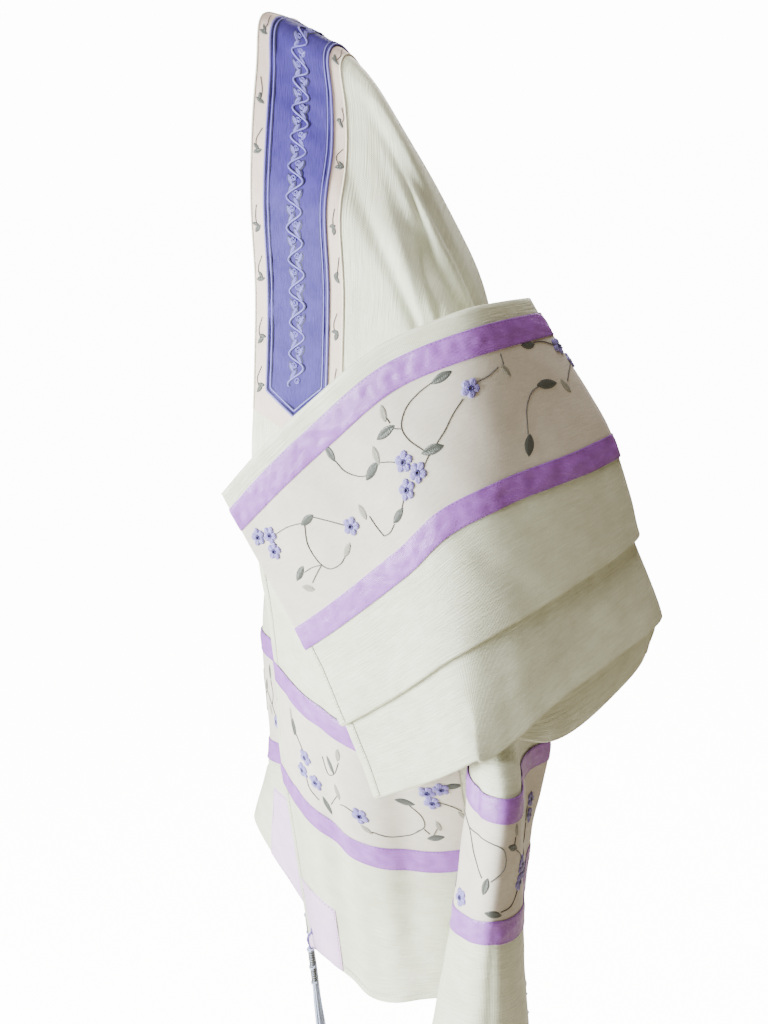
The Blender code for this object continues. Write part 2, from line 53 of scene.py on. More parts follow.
# Cloth, trims and sewing
MM = 0.001
MESH_STEP = 0.005
SILK_WALL = 0.0010
TRIM_WALL = 0.0005
TRIM_LIFT = 0.0003
TRIM_TOP = TRIM_LIFT + TRIM_WALL
RIBBON_WIDTH = 0.025
ORGANZA_WIDTH = 0.115
STRIP_WIDTH = 0.017
HEM_WIDTH = 0.009
SEAM_INSET = 0.0015
RIBBON_SEAM_INSET = 0.0012
STITCH_LENGTH = 0.0030
STITCH_GAP = 0.0011
STITCH_RISE = 0.0002
SEWING_RADIUS = 0.00028

# Height of a slub against the threads beside it
SLUB_WEIGHT = 9.0

# Satin stitches and cord twist, drawn two to three times as coarse as the real 0.4 mm so that they show
STITCH_PITCH = 0.0009
TWIST_SIZE = 0.0011

# Embroidered vines
STEM_RADIUS = 0.00055
LEAF_WIDTH = 0.42
LEAF_HEIGHT = 0.0010
BLOOM_SCALE = 1.15
PETAL_HEIGHT = 0.0020

# Neckband and its backing
BACKING_WIDTH = 0.100
BAND_MARGIN = 0.015
BAND_HALF_LENGTH = 0.492
BAND_POINT = 0.028
BACKING_HALF_LENGTH = 0.510
SCROLL_PITCH = 0.030
SCROLL_WAVE = 0.0085

# Right half of the neck and front, set back from the mirrored left half
FAR_SET_BACK = 0.045
FAR_BLEND_X = (0.0, 0.06)
FAR_BLEND_Y = (-0.02, 0.12)
FAR_BLEND_DROP = (0.30, 0.47)
FAR_LOW_SHARE = 0.08

# Corner squares and tassels
SQUARE = 0.080
EYELET_INSET = 0.022
EYELET_RADII = (0.0030, 0.0038)
EYELET_THREAD = 0.0006
CORD_RADIUS = 0.0009
LOOP_HALF_GAP = 0.0016
TASSEL_STAND_OFF = 0.0065
HEAD_HEIGHT = 0.045
HEAD_TURNS = 15
WINDING_RADIUS = 0.0027
WINDING_CORD = 0.0008
CORE_RADIUS = 0.0024
KNOT_RADIUS = 0.0033
KNOT_CORD = 0.0012
KNOT_DROPS = (0.002, HEAD_HEIGHT * 0.55, HEAD_HEIGHT)
STRAND_COUNT = 8
PURPLE_STRAND = 5
STRAND_LENGTH = 0.200
STRAND_LEAN = (0.0015, -0.0030)
STRAND_ROOT = 0.0020
STRAND_SPREAD = 0.0050
TIP_KNOT_RADIUS = 0.0011

# Floor, surroundings and soft lights; the two glows are for the camera alone, and show white
FLOOR_HEIGHT = -1.45
FLOOR_GLOW = 13.6
BACKGROUND_GLOW = 14.0
WORLD_STRENGTH = 0.18
Lamp = namedtuple("Lamp", "name place size power tint")
LAMPS = [
    Lamp("key", (0.45, -1.8, -0.45), 1.0, 184.0, (0.94, 1.0, 0.98)),
    Lamp("above", (0.8, -0.2, 2.3), 1.3, 80.0, (1.0, 0.98, 0.95)),
    Lamp("back", (-1.6, 1.6, 0.9), 1.4, 60.0, (1.0, 0.97, 0.92)),
]
LAMP_AIM = (0.1, 0.03, -0.5)

# Level at which the shoulder piece ends and the falls begin
SPLIT = -0.470
START = SPLIT - 0.0003
JOIN_ROWS = 8
JOIN_OVERLAP = 0.0004

# Columns of the grids: all round the falls with the two side cuts, the column and the stack
RING_COLUMNS = 241
LEFT_CUT = 60
RIGHT_CUT = 180
COLUMN_COLUMNS = 81
STACK_COLUMNS = 91

# Lines from the neck edge out and down to the split, from the middle of the back forward to the left front
Fall = namedtuple("Fall", "edge band shoulder side lower")
SHOULDER_FALLS = [
    Fall((0, .056, -.003), (0, .112, -.085), (0, .147, -.158),
         (0, .196, -.270), (0, .210, SPLIT)),
    Fall((.034, .042, .006), (.084, .093, -.064), (.107, .128, -.149),
         (.088, .185, -.270), (.065, .207, SPLIT)),
    Fall((.060, .012, .019), (.132, .062, -.028), (.162, .100, -.104),
         (.135, .173, -.255), (.103, .203, SPLIT)),
    Fall((.080, -.010, .017), (.145, .048, -.034), (.184, .092, -.108),
         (.170, .158, -.270), (.133, .197, SPLIT)),
    Fall((.096, -.022, -.025), (.155, .046, -.070), (.197, .093, -.146),
         (.198, .150, -.290), (.160, .189, SPLIT)),
    Fall((.106, -.035, -.080), (.166, .041, -.110), (.209, .094, -.190),
         (.218, .145, -.318), (.185, .177, SPLIT)),
    Fall((.110, -.046, -.150), (.181, .026, -.165), (.225, .085, -.245),
         (.230, .135, -.350), (.205, .162, SPLIT)),
    Fall((.110, -.052, -.230), (.181, .020, -.238), (.230, .080, -.300),
         (.235, .120, -.388), (.219, .142, SPLIT)),
    Fall((.108, -.064, -.320), (.178, .008, -.323), (.226, .063, -.358),
         (.234, .100, -.420), (.227, .121, SPLIT)),
    Fall((.102, -.074, -.390), (.172, -.003, -.390), (.213, .047, -.412),
         (.229, .078, -.441), (.228, .100, SPLIT)),
    Fall((.093, -.080, SPLIT), (.163, -.010, SPLIT), (.202, .035, SPLIT),
         (.220, .060, SPLIT), (.225, .080, SPLIT)),
]
Fold = namedtuple("Fold", "station start end half_width depth")
SHOULDER_FOLDS = [
    Fold(.235, .30, .95, .022, .007),
    Fold(.150, .35, .90, .020, .006),
    Fold(.330, .40, .98, .026, .006),
    Fold(.060, .45, 1.0, .022, .008),
    Fold(-.050, .40, 1.0, .024, .007),
    Fold(-.160, .35, .95, .024, .007),
    Fold(-.260, .30, .95, .026, .006),
    Fold(-.350, .40, .98, .026, .006),
]

# Soft folds all round the hanging pieces: places and half widths as shares round, starts as shares down
Drape = namedtuple("Drape", "place start half_width depth")
DRAPES = [
    Drape(.100, .25, .018, .004),
    Drape(.190, .20, .020, .006),
    Drape(.315, .15, .022, .010),
    Drape(.375, .25, .018, .008),
    Drape(.450, .15, .022, .012),
    Drape(.530, .30, .018, .008),
    Drape(.600, .15, .022, .011),
    Drape(.670, .20, .020, .009),
    Drape(.805, .20, .020, .007),
    Drape(.880, .30, .018, .005),
]

# Hanging pieces, each row one level line of the cloth from its front edge round to the back
Front = namedtuple("Front", "edge bend middle side flank")
NEAR_FRONT = {
    "start": Front((.093, -.080, START), (.128, -.048, START), (.163, -.010, START),
                   (.202, .035, START), (.225, .080, START)),
    "upper": Front((.050, -.069, -.629), (.100, -.055, -.648), (.145, -.032, -.665),
                   (.180, .015, -.690), (.195, .080, -.705)),
    "lower": Front((.033, -.073, -.755), (.090, -.062, -.775), (.135, -.030, -.805),
                   (.170, .026, -.821), (.180, .090, -.826)),
    "hem": Front((.003, -.062, -1.004), (.072, -.057, -.981), (.125, -.025, -1.006),
                 (.170, .018, -.998), (.183, .092, -.990)),
}
FAR_FRONT = {
    "start": Front((.093, -.038, START), (.128, -.010, START), (.163, .020, START),
                   (.202, .050, START), (.225, .085, START)),
    "upper": Front((.015, -.045, -.645), (.118, -.052, -.652), (.155, -.018, -.655),
                   (.188, .030, -.658), (.200, .085, -.662)),
    "lower": Front((-.010, -.050, -.755), (.122, -.060, -.790), (.155, -.020, -.790),
                   (.180, .028, -.782), (.188, .090, -.777)),
    "hem": Front((-.025, -.046, -.985), (.118, -.092, -.890), (.160, -.035, -.925),
                 (.182, .025, -.950), (.186, .090, -.963)),
}
Back = namedtuple("Back", "side corner half middle")
BACK = {
    "start": Back((.223, .132, START), (.185, .177, START), (.103, .203, START), (0, .210, START)),
    "upper": Back((.193, .118, -.705), (.152, .152, -.710), (.080, .168, -.715), (0, .176, -.715)),
    "lower": Back((.176, .118, -.830), (.140, .138, -.840), (.075, .152, -.850), (0, .158, -.850)),
    "hem": Back((.164, .118, -.995), (.128, .128, -.998), (.070, .136, -1.000), (0, .140, -1.000)),
}

# Column of cloth that hangs from under the stack
Column = namedtuple("Column", "lip left front ridge right turn behind bit tail")
COLUMN = {
    "start": Column((.225, .104, -.640), (.240, .086, -.640), (.248, .083, -.640), (.254, .094, -.640),
                    (.250, .110, -.640), (.238, .124, -.640), (.218, .142, -.640), (.186, .168, -.640),
                    (.160, .190, -.640)),
    "upper": Column((.215, .102, -.700), (.248, .076, -.700), (.280, .075, -.711), (.300, .090, -.715),
                    (.291, .110, -.719), (.262, .124, -.717), (.214, .139, -.727), (.165, .168, -.736),
                    (.140, .200, -.743)),
    "lower": Column((.200, .106, -.838), (.242, .050, -.842), (.281, .052, -.842), (.301, .068, -.841),
                    (.291, .091, -.848), (.264, .112, -.852), (.213, .131, -.855), (.166, .154, -.855),
                    (.137, .168, -.860)),
    "hem": Column((.195, .106, -.998), (.232, .012, -.998), (.280, .024, -.998), (.301, .051, -.998),
                  (.292, .085, -1.000), (.266, .107, -1.000), (.223, .118, -1.003), (.200, .121, -1.005),
                  (.177, .125, -1.006)),
}

# Stack of folded layers at the left side, from its top edge to the lowest fold
Stack = namedtuple("Stack", "front quarter half near_ridge ridge back wrap")
STACK = {
    "top": Stack((.160, -.117, -.410), (.194, -.084, -.368), (.228, -.040, -.324), (.267, .023, -.273),
                 (.296, .098, -.248), (.266, .165, -.250), (.225, .175, -.262)),
    "middle": Stack((.160, -.060, -.564), (.218, -.018, -.517), (.263, .023, -.469), (.292, .062, -.434),
                    (.297, .127, -.405), (.262, .235, -.390), (.215, .240, -.400)),
    "fold": Stack((.185, -.034, -.657), (.233, .008, -.618), (.284, .046, -.573), (.300, .088, -.550),
                  (.290, .167, -.525), (.260, .262, -.495), (.215, .262, -.500)),
    "second": Stack((.202, -.017, -.736), (.252, .024, -.706), (.297, .062, -.673), (.299, .093, -.671),
                    (.289, .173, -.629), (.262, .288, -.584), (.216, .284, -.583)),
    "third": Stack((.202, -.017, -.740), (.252, .025, -.711), (.297, .062, -.677), (.299, .094, -.676),
                   (.287, .171, -.680), (.258, .279, -.628), (.213, .274, -.620)),
}

# How the stack's layers lie behind each other, turn at their folds and rest on the shoulder silk
STACK_LAYER_DEPTH = 0.0081
STACK_FOLD_RADIUS = 0.0035
STACK_RETURN = 0.025
SHELF_DROP = 0.030
SHELF_ARCH = 0.010
MIDDLE_TUCK = 0.030
INNER_TUCK = 0.060
HIDDEN_RISE = 0.025
HIDDEN_SHARES = (0.45, 0.70)

# Waves that add up to a ripple, and how the soft folds of the falls and the shoulders fade in
RIPPLE_WAVES = 14
RING_ROWS = (4, 1, 3, 1, 4)
FOLD_FADE = 0.25
SHOULDER_FOLD_BOOST = 1.15

# Soft creases: start and end as shares across and down a piece, width, and depth with troughs positive
Crease = namedtuple("Crease", "across down across_end down_end width depth")
CAPE_CREASES = [
    Crease(.305, .20, .200, .47, .013, .0040),
    Crease(.365, .36, .240, .52, .012, .0044),
    Crease(.330, .26, .215, .47, .013, -.0026),
    Crease(.385, .26, .275, .52, .012, .0026),
    Crease(.695, .20, .800, .47, .013, .0040),
    Crease(.635, .36, .760, .52, .012, .0044),
    Crease(.470, .30, .455, .85, .018, .0050),
    Crease(.560, .35, .575, .90, .020, .0046),
]
OUTER_CREASES = [
    Crease(.02, .80, .30, .86, .010, .0012),
    Crease(.55, .78, .62, 1.0, .012, .0018),
    Crease(.30, .05, .26, .60, .030, .0020),
    Crease(.72, .30, .66, .80, .020, .0022),
]
MIDDLE_CREASES = [
    Crease(.30, .35, .36, .80, .016, .0016),
    Crease(.60, .20, .56, .75, .018, -.0012),
    Crease(.08, .50, .30, .65, .012, .0012),
]
FRONT_CREASES = [
    Crease(.30, .05, .42, .40, .012, .0025),
    Crease(.45, .62, .40, .98, .016, .0030),
    Crease(.72, .60, .70, .95, .014, .0024),
    Crease(.10, .45, .20, .70, .008, .0014),
    Crease(.30, .748, .92, .735, .004, .0018),
    Crease(.55, .80, .62, .97, .016, .0034),
]
BACK_CREASES = [
    Crease(.20, .02, .30, .50, .014, .0025),
    Crease(.60, .10, .55, .60, .012, .0022),
    Crease(.80, .50, .84, .95, .014, .0026),
    Crease(.42, .45, .40, .92, .012, .0020),
]
COLUMN_CREASES = [
    Crease(.22, .02, .26, .45, .008, .0018),
    Crease(.40, .60, .36, 1.0, .010, .0022),
    Crease(.62, .05, .60, .40, .008, .0016),
]

# Embroidery of one decorated stretch, in millimetres from its left end and from the upper ribbon
Leaf = namedtuple("Leaf", "x y turn length pale")
Bloom = namedtuple("Bloom", "x y turn size")
Vine = namedtuple("Vine", "stems leaves blooms")
STACK_VINE = Vine(
    stems=[
        [(148, 14), (151, 28), (161, 40), (171, 45)],
        [(187, 44), (196, 50), (206, 58)],
        [(216, 70), (224, 72), (233, 66)],
        [(230, 60), (221, 45), (219, 31), (228, 19), (242, 12), (256, 8)],
        [(219, 33), (212, 28)],
        [(211, 22), (210, 16)],
        [(243, 60), (254, 52), (265, 41), (276, 32)],
        [(292, 22), (304, 20), (317, 15)],
        [(324, 14), (324, 4)],
        [(372, 2), (388, 4), (402, 10)],
        [(416, 30), (400, 40), (391, 48)],
        [(359, 43), (346, 47), (335, 60), (328, 84)],
        [(80, 40), (71, 56), (71, 76), (78, 88), (91, 91), (101, 88)],
        [(72, 80), (60, 76), (48, 75)],
        [(72, 80), (60, 84), (50, 88)],
        [(92, 38), (106, 52), (119, 66)],
        [(147, 74), (148, 86), (150, 97)],
        [(150, 97), (158, 98), (168, 95)],
        [(184, 90), (192, 84), (196, 80)],
        [(22, 20), (34, 26), (60, 30), (79, 37)],
    ],
    leaves=[
        Leaf(148, 6, 94, 18, False), Leaf(175, 44, -14, 22, False), Leaf(186, 36, 100, 18, True),
        Leaf(238, 63, 8, 23, False), Leaf(264, 7, -12, 20, False), Leaf(204, 26, 2, 21, False),
        Leaf(209, 11, 98, 16, True), Leaf(325, 20, 60, 16, True), Leaf(363, 3, 6, 20, False),
        Leaf(386, 52, 74, 17, True), Leaf(366, 44, 10, 24, False), Leaf(326, 94, 112, 22, False),
        Leaf(86, 38, 2, 20, False), Leaf(106, 85, -28, 17, True), Leaf(42, 73, -22, 20, False),
        Leaf(42, 90, 40, 17, True), Leaf(143, 67, 94, 17, True), Leaf(177, 92, -10, 20, False),
    ],
    blooms=[
        Bloom(208, 58, 10, 17), Bloom(217, 74, 40, 17), Bloom(199, 80, 0, 17), Bloom(285, 25, 20, 16),
        Bloom(408, 12, 15, 16), Bloom(421, 30, 50, 16), Bloom(124, 70, 30, 16), Bloom(17, 17, 0, 16),
        Bloom(33, 24, 40, 16), Bloom(27, 39, 20, 16),
    ],
)
FRONT_VINE = Vine(
    stems=[
        [(37, 26), (41, 34), (46, 40)],
        [(50, 36), (58, 44), (64, 52)],
        [(120, 27), (112, 44), (100, 52), (93, 36)],
        [(112, 70), (104, 82), (98, 92)],
        [(130, 80), (120, 78), (114, 80)],
        [(194, 56), (204, 68), (205, 82), (195, 92)],
        [(199, 88), (187, 97), (167, 101), (148, 98)],
        [(204, 86), (209, 92)],
        [(213, 93), (218, 84)],
        [(223, 44), (238, 52), (248, 60)],
        [(66, 82), (70, 92), (82, 98)],
    ],
    leaves=[
        Leaf(45, 30, 70, 20, False), Leaf(37, 19, 80, 16, True), Leaf(120, 18, 100, 17, True),
        Leaf(106, 38, 60, 20, False), Leaf(112, 66, 75, 18, True), Leaf(92, 98, 62, 20, False),
        Leaf(190, 52, 6, 22, False), Leaf(215, 97, -10, 20, False), Leaf(220, 80, 80, 15, True),
        Leaf(142, 97, 30, 15, True), Leaf(243, 23, -10, 21, False), Leaf(247, 66, 60, 14, True),
    ],
    blooms=[
        Bloom(66, 55, 0, 16), Bloom(60, 76, 30, 15), Bloom(80, 77, 50, 15), Bloom(137, 82, 20, 17),
        Bloom(216, 33, 10, 16), Bloom(231, 27, 40, 16), Bloom(219, 47, 25, 16),
    ],
)
COLUMN_VINE = Vine(
    stems=[
        [(40, 30), (60, 18), (85, 20), (98, 42), (112, 60)],
        [(85, 20), (110, 20), (131, 27), (135, 46), (122, 62)],
        [(146, 30), (147, 16)],
        [(152, 32), (164, 42), (170, 52)],
        [(168, 78), (154, 92), (136, 96)],
        [(40, 30), (33, 48), (38, 68), (52, 80)],
        [(182, 60), (200, 52), (216, 40)],
        [(224, 50), (240, 66), (262, 70), (280, 58)],
    ],
    leaves=[
        Leaf(117, 68, 100, 20, False), Leaf(145, 27, 20, 18, False), Leaf(148, 9, 80, 15, True),
        Leaf(128, 98, 10, 20, False), Leaf(60, 84, 40, 20, False), Leaf(30, 44, 80, 16, True),
        Leaf(222, 34, -40, 20, False), Leaf(286, 50, -50, 20, False), Leaf(258, 82, 60, 16, True),
    ],
    blooms=[
        Bloom(171, 56, 0, 16), Bloom(168, 73, 30, 16), Bloom(184, 68, 15, 16), Bloom(84, 92, 20, 16),
        Bloom(304, 40, 10, 16), Bloom(300, 58, 40, 16),
    ],
)


def colour(code):
    """Linear colour of an sRGB hex value."""
    channels = [int(code[i:i + 2], 16) / 255 for i in (1, 3, 5)]
    return tuple(c / 12.92 if c <= 0.04045 else ((c + 0.055) / 1.055) ** 2.4 for c in channels) + (1.0,)


def smooth_step(value, low, high):
    """Share from 0 to 1 that eases in and out between low and high."""
    t = np.clip((np.asarray(value, float) - low) / (high - low), 0.0, 1.0)
    return t * t * (3 - 2 * t)


def spline(keys, shares):
    """Points of a Catmull-Rom curve through the keys, along their first axis."""
    keys = np.asarray(keys, float)
    place = np.clip(np.asarray(shares, float), 0, 1) * (len(keys) - 1)
    first = np.minimum(place.astype(int), len(keys) - 2)
    t = (place - first).reshape((-1,) + (1,) * (keys.ndim - 1))
    padded = np.concatenate([2 * keys[:1] - keys[1:2], keys, 2 * keys[-1:] - keys[-2:-1]])
    a, b, c, d = (padded[first + i] for i in range(4))
    return 0.5 * (2 * b + (c - a) * t + (2 * a - 5 * b + 4 * c - d) * t ** 2
                  + (3 * b - a - 3 * c + d) * t ** 3)


def lengths_of(points):
    """Length along a polyline at each of its points."""
    steps = np.linalg.norm(np.diff(points, axis=0), axis=1)
    return np.concatenate([[0.0], np.cumsum(steps)])


def evenly(points, step):
    """Points along a polyline, one each step."""
    lengths = lengths_of(points)
    count = max(2, round(lengths[-1] / step) + 1)
    spots = np.linspace(0, lengths[-1], count)
    return np.stack([np.interp(spots, lengths, points[:, k]) for k in range(points.shape[1])], axis=-1)


class Line:
    """Smooth line through key points, read by its length."""

    def __init__(self, keys):
        self.points = spline(keys, np.linspace(0, 1, 161))
        self.lengths = lengths_of(self.points)
        self.total = self.lengths[-1]

    def at(self, distances):
        return np.stack([np.interp(distances, self.lengths, self.points[:, k]) for k in range(3)], axis=-1)


def normals_of(grid):
    """Outward unit normals of a grid whose rows run down and columns from left to right."""
    down, across = np.gradient(grid, axis=0), np.gradient(grid, axis=1)
    normals = np.cross(down, across)
    return normals / np.maximum(np.linalg.norm(normals, axis=2, keepdims=True), 1e-12)


def lifted(grid, rise):
    """The grid moved outward by a rise."""
    return grid + normals_of(grid) * rise


def finer(grid, times):
    """The grid with its steps cut in equal parts."""
    rows, columns = grid.shape[:2]
    grid = spline(grid, np.linspace(0, 1, (rows - 1) * times + 1))
    grid = spline(np.swapaxes(grid, 0, 1), np.linspace(0, 1, (columns - 1) * times + 1))
    return np.swapaxes(grid, 0, 1)


def pressed(grid, creases):
    """The grid with soft creases pressed into it, uneven along their length."""
    rows, columns = grid.shape[:2]
    height = lengths_of(grid[:, columns // 2])[-1]
    width = lengths_of(grid[rows // 2])[-1]
    x, y = np.meshgrid(np.linspace(0, width, columns), np.linspace(0, height, rows))
    depth = np.zeros((rows, columns))
    for i, fold in enumerate(creases):
        start = np.array([fold.across * width, fold.down * height])
        run = np.array([fold.across_end * width, fold.down_end * height]) - start
        length = np.linalg.norm(run)
        run /= length
        along = (x - start[0]) * run[0] + (y - start[1]) * run[1]
        off = (x - start[0]) * run[1] - (y - start[1]) * run[0]
        off = off + 0.25 * fold.width * np.sin(along / length * 5 + i)
        ends = smooth_step(along, -0.25 * length, 0.30 * length)
        ends = ends * (1 - smooth_step(along, 0.70 * length, 1.25 * length))
        depth += fold.depth * ends * np.exp(-(off / fold.width) ** 2)
    return grid - normals_of(grid) * depth[..., None]


def rippled(grid, size, height, seed):
    """The grid with a faint random waviness of the given ripple size."""
    rng = np.random.RandomState(seed)
    across = lengths_of(grid[grid.shape[0] // 2])
    down = lengths_of(grid[:, grid.shape[1] // 2])
    wave = np.zeros(grid.shape[:2])
    for _ in range(RIPPLE_WAVES):
        angle, phase = rng.uniform(0, math.pi), rng.uniform(0, 2 * math.pi)
        scale = 2 * math.pi / (size * rng.uniform(0.6, 2.2))
        run = across[None, :] * math.cos(angle) + down[:, None] * math.sin(angle)
        wave += np.sin(run * scale + phase)
    return grid + normals_of(grid) * (wave * height / 5)[..., None]


def carried(piece, node=None):
    """The piece rides on the body and stands for a node, whose part it hides."""
    bpy.context.scene.collection.objects.link(piece)
    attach(piece, "root")
    if node:
        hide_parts(node)


def sheet_mesh(name, grid, material):
    """Mesh of a grid of points, with a UV map in metres along the cloth."""
    rows, columns = grid.shape[:2]
    builder = bmesh.new()
    bmesh.ops.create_grid(builder, x_segments=columns - 1, y_segments=rows - 1, size=1)
    mesh = bpy.data.meshes.new(name)
    builder.to_mesh(mesh)
    builder.free()
    mesh.vertices.foreach_set("co", grid[::-1].reshape(-1))
    across = lengths_of(grid[rows // 2])
    down = lengths_of(grid[:, columns // 2])[::-1]
    u, v = np.meshgrid(across, -down)
    corner = np.empty(len(mesh.loops), dtype=np.int32)
    mesh.loops.foreach_get("vertex_index", corner)
    layer = mesh.uv_layers.new(name="cloth")
    layer.data.foreach_set("uv", np.stack([u.reshape(-1)[corner], v.reshape(-1)[corner]], -1).reshape(-1))
    mesh.materials.append(material)
    mesh.shade_smooth()
    mesh.update()
    return mesh


def cloth(name, grid, material, node=None, wall=SILK_WALL, outward=False):
    """Named shell of cloth on a grid of points."""
    piece = bpy.data.objects.new(name, sheet_mesh(name, grid, material))
    solidify = piece.modifiers.new("wall", "SOLIDIFY")
    solidify.thickness = wall
    solidify.offset = 1.0 if outward else -1.0
    piece.modifiers.new("even shading", "WEIGHTED_NORMAL")
    carried(piece, node)


class Surface:
    """A grid read by metres across and down, for what is sewn on it."""

    def __init__(self, grid, across=None, down=None):
        self.grid = grid
        self.normals = normals_of(grid)
        rows, columns = grid.shape[:2]
        self.across = lengths_of(grid[rows // 2]) if across is None else across
        self.down = lengths_of(grid[:, columns // 2]) if down is None else down

    def at(self, x, y, rise=0.0):
        """Points at x across and y down, moved out by rise."""
        x, y, rise = np.broadcast_arrays(*(np.asarray(value, float) for value in (x, y, rise)))
        c = np.interp(x, self.across, np.arange(len(self.across)))
        r = np.interp(y, self.down, np.arange(len(self.down)))
        c0 = np.minimum(c.astype(int), self.grid.shape[1] - 2)
        r0 = np.minimum(r.astype(int), self.grid.shape[0] - 2)
        tc, tr = (c - c0)[..., None], (r - r0)[..., None]

        def mix(field):
            upper = field[r0, c0] * (1 - tc) + field[r0, c0 + 1] * tc
            lower = field[r0 + 1, c0] * (1 - tc) + field[r0 + 1, c0 + 1] * tc
            return upper * (1 - tr) + lower * tr

        return mix(self.grid) + mix(self.normals) * rise[..., None]

    def patch(self, across, down, step, rise):
        """Grid of points on a rectangle of the surface."""
        x = np.linspace(*across, max(1, round((across[1] - across[0]) / step)) + 1)
        y = np.linspace(*down, max(1, round((down[1] - down[0]) / step)) + 1)
        return self.at(x[None, :], y[:, None], rise)

    @property
    def width(self):
        return self.across[-1]

    @property
    def height(self):
        return self.down[-1]


def add_node(tree, kind, links=None, **settings):
    """A shader node with its settings, input values and links."""
    node = tree.nodes.new(kind)
    for name, value in settings.items():
        setattr(node, name, value)
    for name, value in (links or {}).items():
        if isinstance(value, bpy.types.NodeSocket):
            tree.links.new(value, node.inputs[name])
        else:
            node.inputs[name].default_value = value
    return node


def mixed_paint(tree, factor, dark, light):
    """Base colour that runs from dark to light with the factor."""
    paint = add_node(tree, "ShaderNodeMix", {"Factor": factor}, data_type="RGBA")
    paint.inputs["A"].default_value = dark
    paint.inputs["B"].default_value = light
    tree.links.new(paint.outputs["Result"], tree.nodes["Principled BSDF"].inputs["Base Color"])


def fabric(name, light, dark, rough, threads, slub, bump, sheen, variation=0.5, cloud=0.02, specular=0.5):
    """Woven fabric: thread spacings across and down, the size of a slub, and that of a cloud of colour. On
    the satin ribbon these lighter and darker clouds are painted highlights and painted shade.
    """
    material = bpy.data.materials.new(name)
    material.use_nodes = True
    tree = material.node_tree
    shader = tree.nodes["Principled BSDF"]
    place = add_node(tree, "ShaderNodeUVMap", uv_map="cloth").outputs["UV"]

    def noise(scale_x, scale_y, detail):
        spot = add_node(tree, "ShaderNodeMapping", {"Vector": place, "Scale": (scale_x, scale_y, 1.0)})
        return add_node(tree, "ShaderNodeTexNoise", {"Vector": spot.outputs["Vector"], "Scale": 1.0,
                                                     "Detail": detail}).outputs["Fac"]

    def thread(direction, spacing):
        return add_node(tree, "ShaderNodeTexWave", {"Vector": place, "Scale": math.pi / 10 / spacing,
                                                    "Distortion": 0.6, "Detail": 1.0, "Detail Scale": 2.0},
                        bands_direction=direction).outputs["Fac"]

    # Random slubs and clouds set the colour; on the satin ribbon they are painted highlights and painted
    # shade
    uneven = noise(1 / slub[0], 1 / slub[1], 3.0)
    tone_and_highlight_clouds = noise(1 / cloud, 1 / cloud, 2.0)
    both = add_node(tree, "ShaderNodeMath", {0: uneven, 1: tone_and_highlight_clouds}, operation="ADD").outputs[0]
    share = add_node(tree, "ShaderNodeMapRange", {"Value": both, "From Min": 1.0 - variation,
                                                  "From Max": 1.0 + variation}).outputs["Result"]
    mixed_paint(tree, share, colour(dark), colour(light))
    weave = add_node(tree, "ShaderNodeMath", {0: thread("X", threads[0]), 1: thread("Y", threads[1])},
                     operation="ADD").outputs[0]
    relief = add_node(tree, "ShaderNodeMath", {0: uneven, 1: SLUB_WEIGHT, 2: weave},
                      operation="MULTIPLY_ADD").outputs[0]
    height = add_node(tree, "ShaderNodeBump", {"Height": relief, "Strength": 1.0, "Distance": bump})
    tree.links.new(height.outputs["Normal"], shader.inputs["Normal"])
    shader.inputs["Roughness"].default_value = rough
    shader.inputs["Specular IOR Level"].default_value = specular
    shader.inputs["Sheen Weight"].default_value = sheen
    shader.inputs["Sheen Roughness"].default_value = 0.35
    return material


def thread_finish(name, code, rough, stitched=False):
    """Thread: satin stitches laid side by side on a pad, or the fine twist of a cord."""
    material = bpy.data.materials.new(name)
    material.use_nodes = True
    tree = material.node_tree
    shader = tree.nodes["Principled BSDF"]
    if stitched:
        place = add_node(tree, "ShaderNodeUVMap", uv_map="cloth").outputs["UV"]
        lines = add_node(tree, "ShaderNodeTexWave", {"Vector": place, "Scale": math.pi / 10 / STITCH_PITCH,
                                                     "Distortion": 1.2, "Detail": 1.0},
                         bands_direction="DIAGONAL").outputs["Fac"]
    else:
        place = add_node(tree, "ShaderNodeTexCoord").outputs["Object"]
        lines = add_node(tree, "ShaderNodeTexNoise", {"Vector": place, "Scale": 1 / TWIST_SIZE,
                                                      "Detail": 2.0}).outputs["Fac"]
    base = colour(code)
    mixed_paint(tree, lines, tuple(c * 0.66 for c in base[:3]) + (1.0,),
                tuple(min(c * 1.20, 1.0) for c in base[:3]) + (1.0,))
    height = add_node(tree, "ShaderNodeBump", {"Height": lines, "Strength": 0.8, "Distance": 0.0003})
    tree.links.new(height.outputs["Normal"], shader.inputs["Normal"])
    shader.inputs["Roughness"].default_value = rough
    shader.inputs["Sheen Weight"].default_value = 0.15
    return material


# The thread spacings are three to eight times the real 0.15 to 0.3 mm, so that the weaves show

# Dupion silk, woven with uneven weft threads: fine level slubs and a soft sheen
SILK = fabric("dupion silk", "#E6EAD5", "#CACBB0", 0.42, (0.0013, 0.0011), (0.030, 0.0018), 0.00011, 0.10)
# Satin ribbon, woven with long floats: a faintly crinkled glossy face, with broad lighter and darker patches
# in its colour that are painted highlights and painted shade
RIBBON = fabric("lilac satin ribbon", "#B072D4", "#8A4EA8", 0.27, (0.0010, 0.0016), (0.014, 0.007), 0.00008,
                0.06, 0.62, 0.014)
# Silk organza, a sheer plain weave over the silk: a matt face a little greyer than the silk
ORGANZA = fabric("silk organza", "#DBD3C7", "#C8BEB2", 0.62, (0.0010, 0.0010), (0.010, 0.002), 0.00003, 0.15)
# Silk taffeta, a crisp close plain weave: a deep even purple with fine cross ribs
TAFFETA = fabric("purple taffeta", "#473A8C", "#2F2568", 0.50, (0.0009, 0.0012), (0.012, 0.0012), 0.00006,
                 0.02, specular=0.15)
# Organza again, over the silk under the neckband: a matt, slightly pink face
BACKING = fabric("neckband organza", "#DFC9BD", "#C6AFA3", 0.60, (0.0010, 0.0010), (0.010, 0.002), 0.00003,
                 0.15)
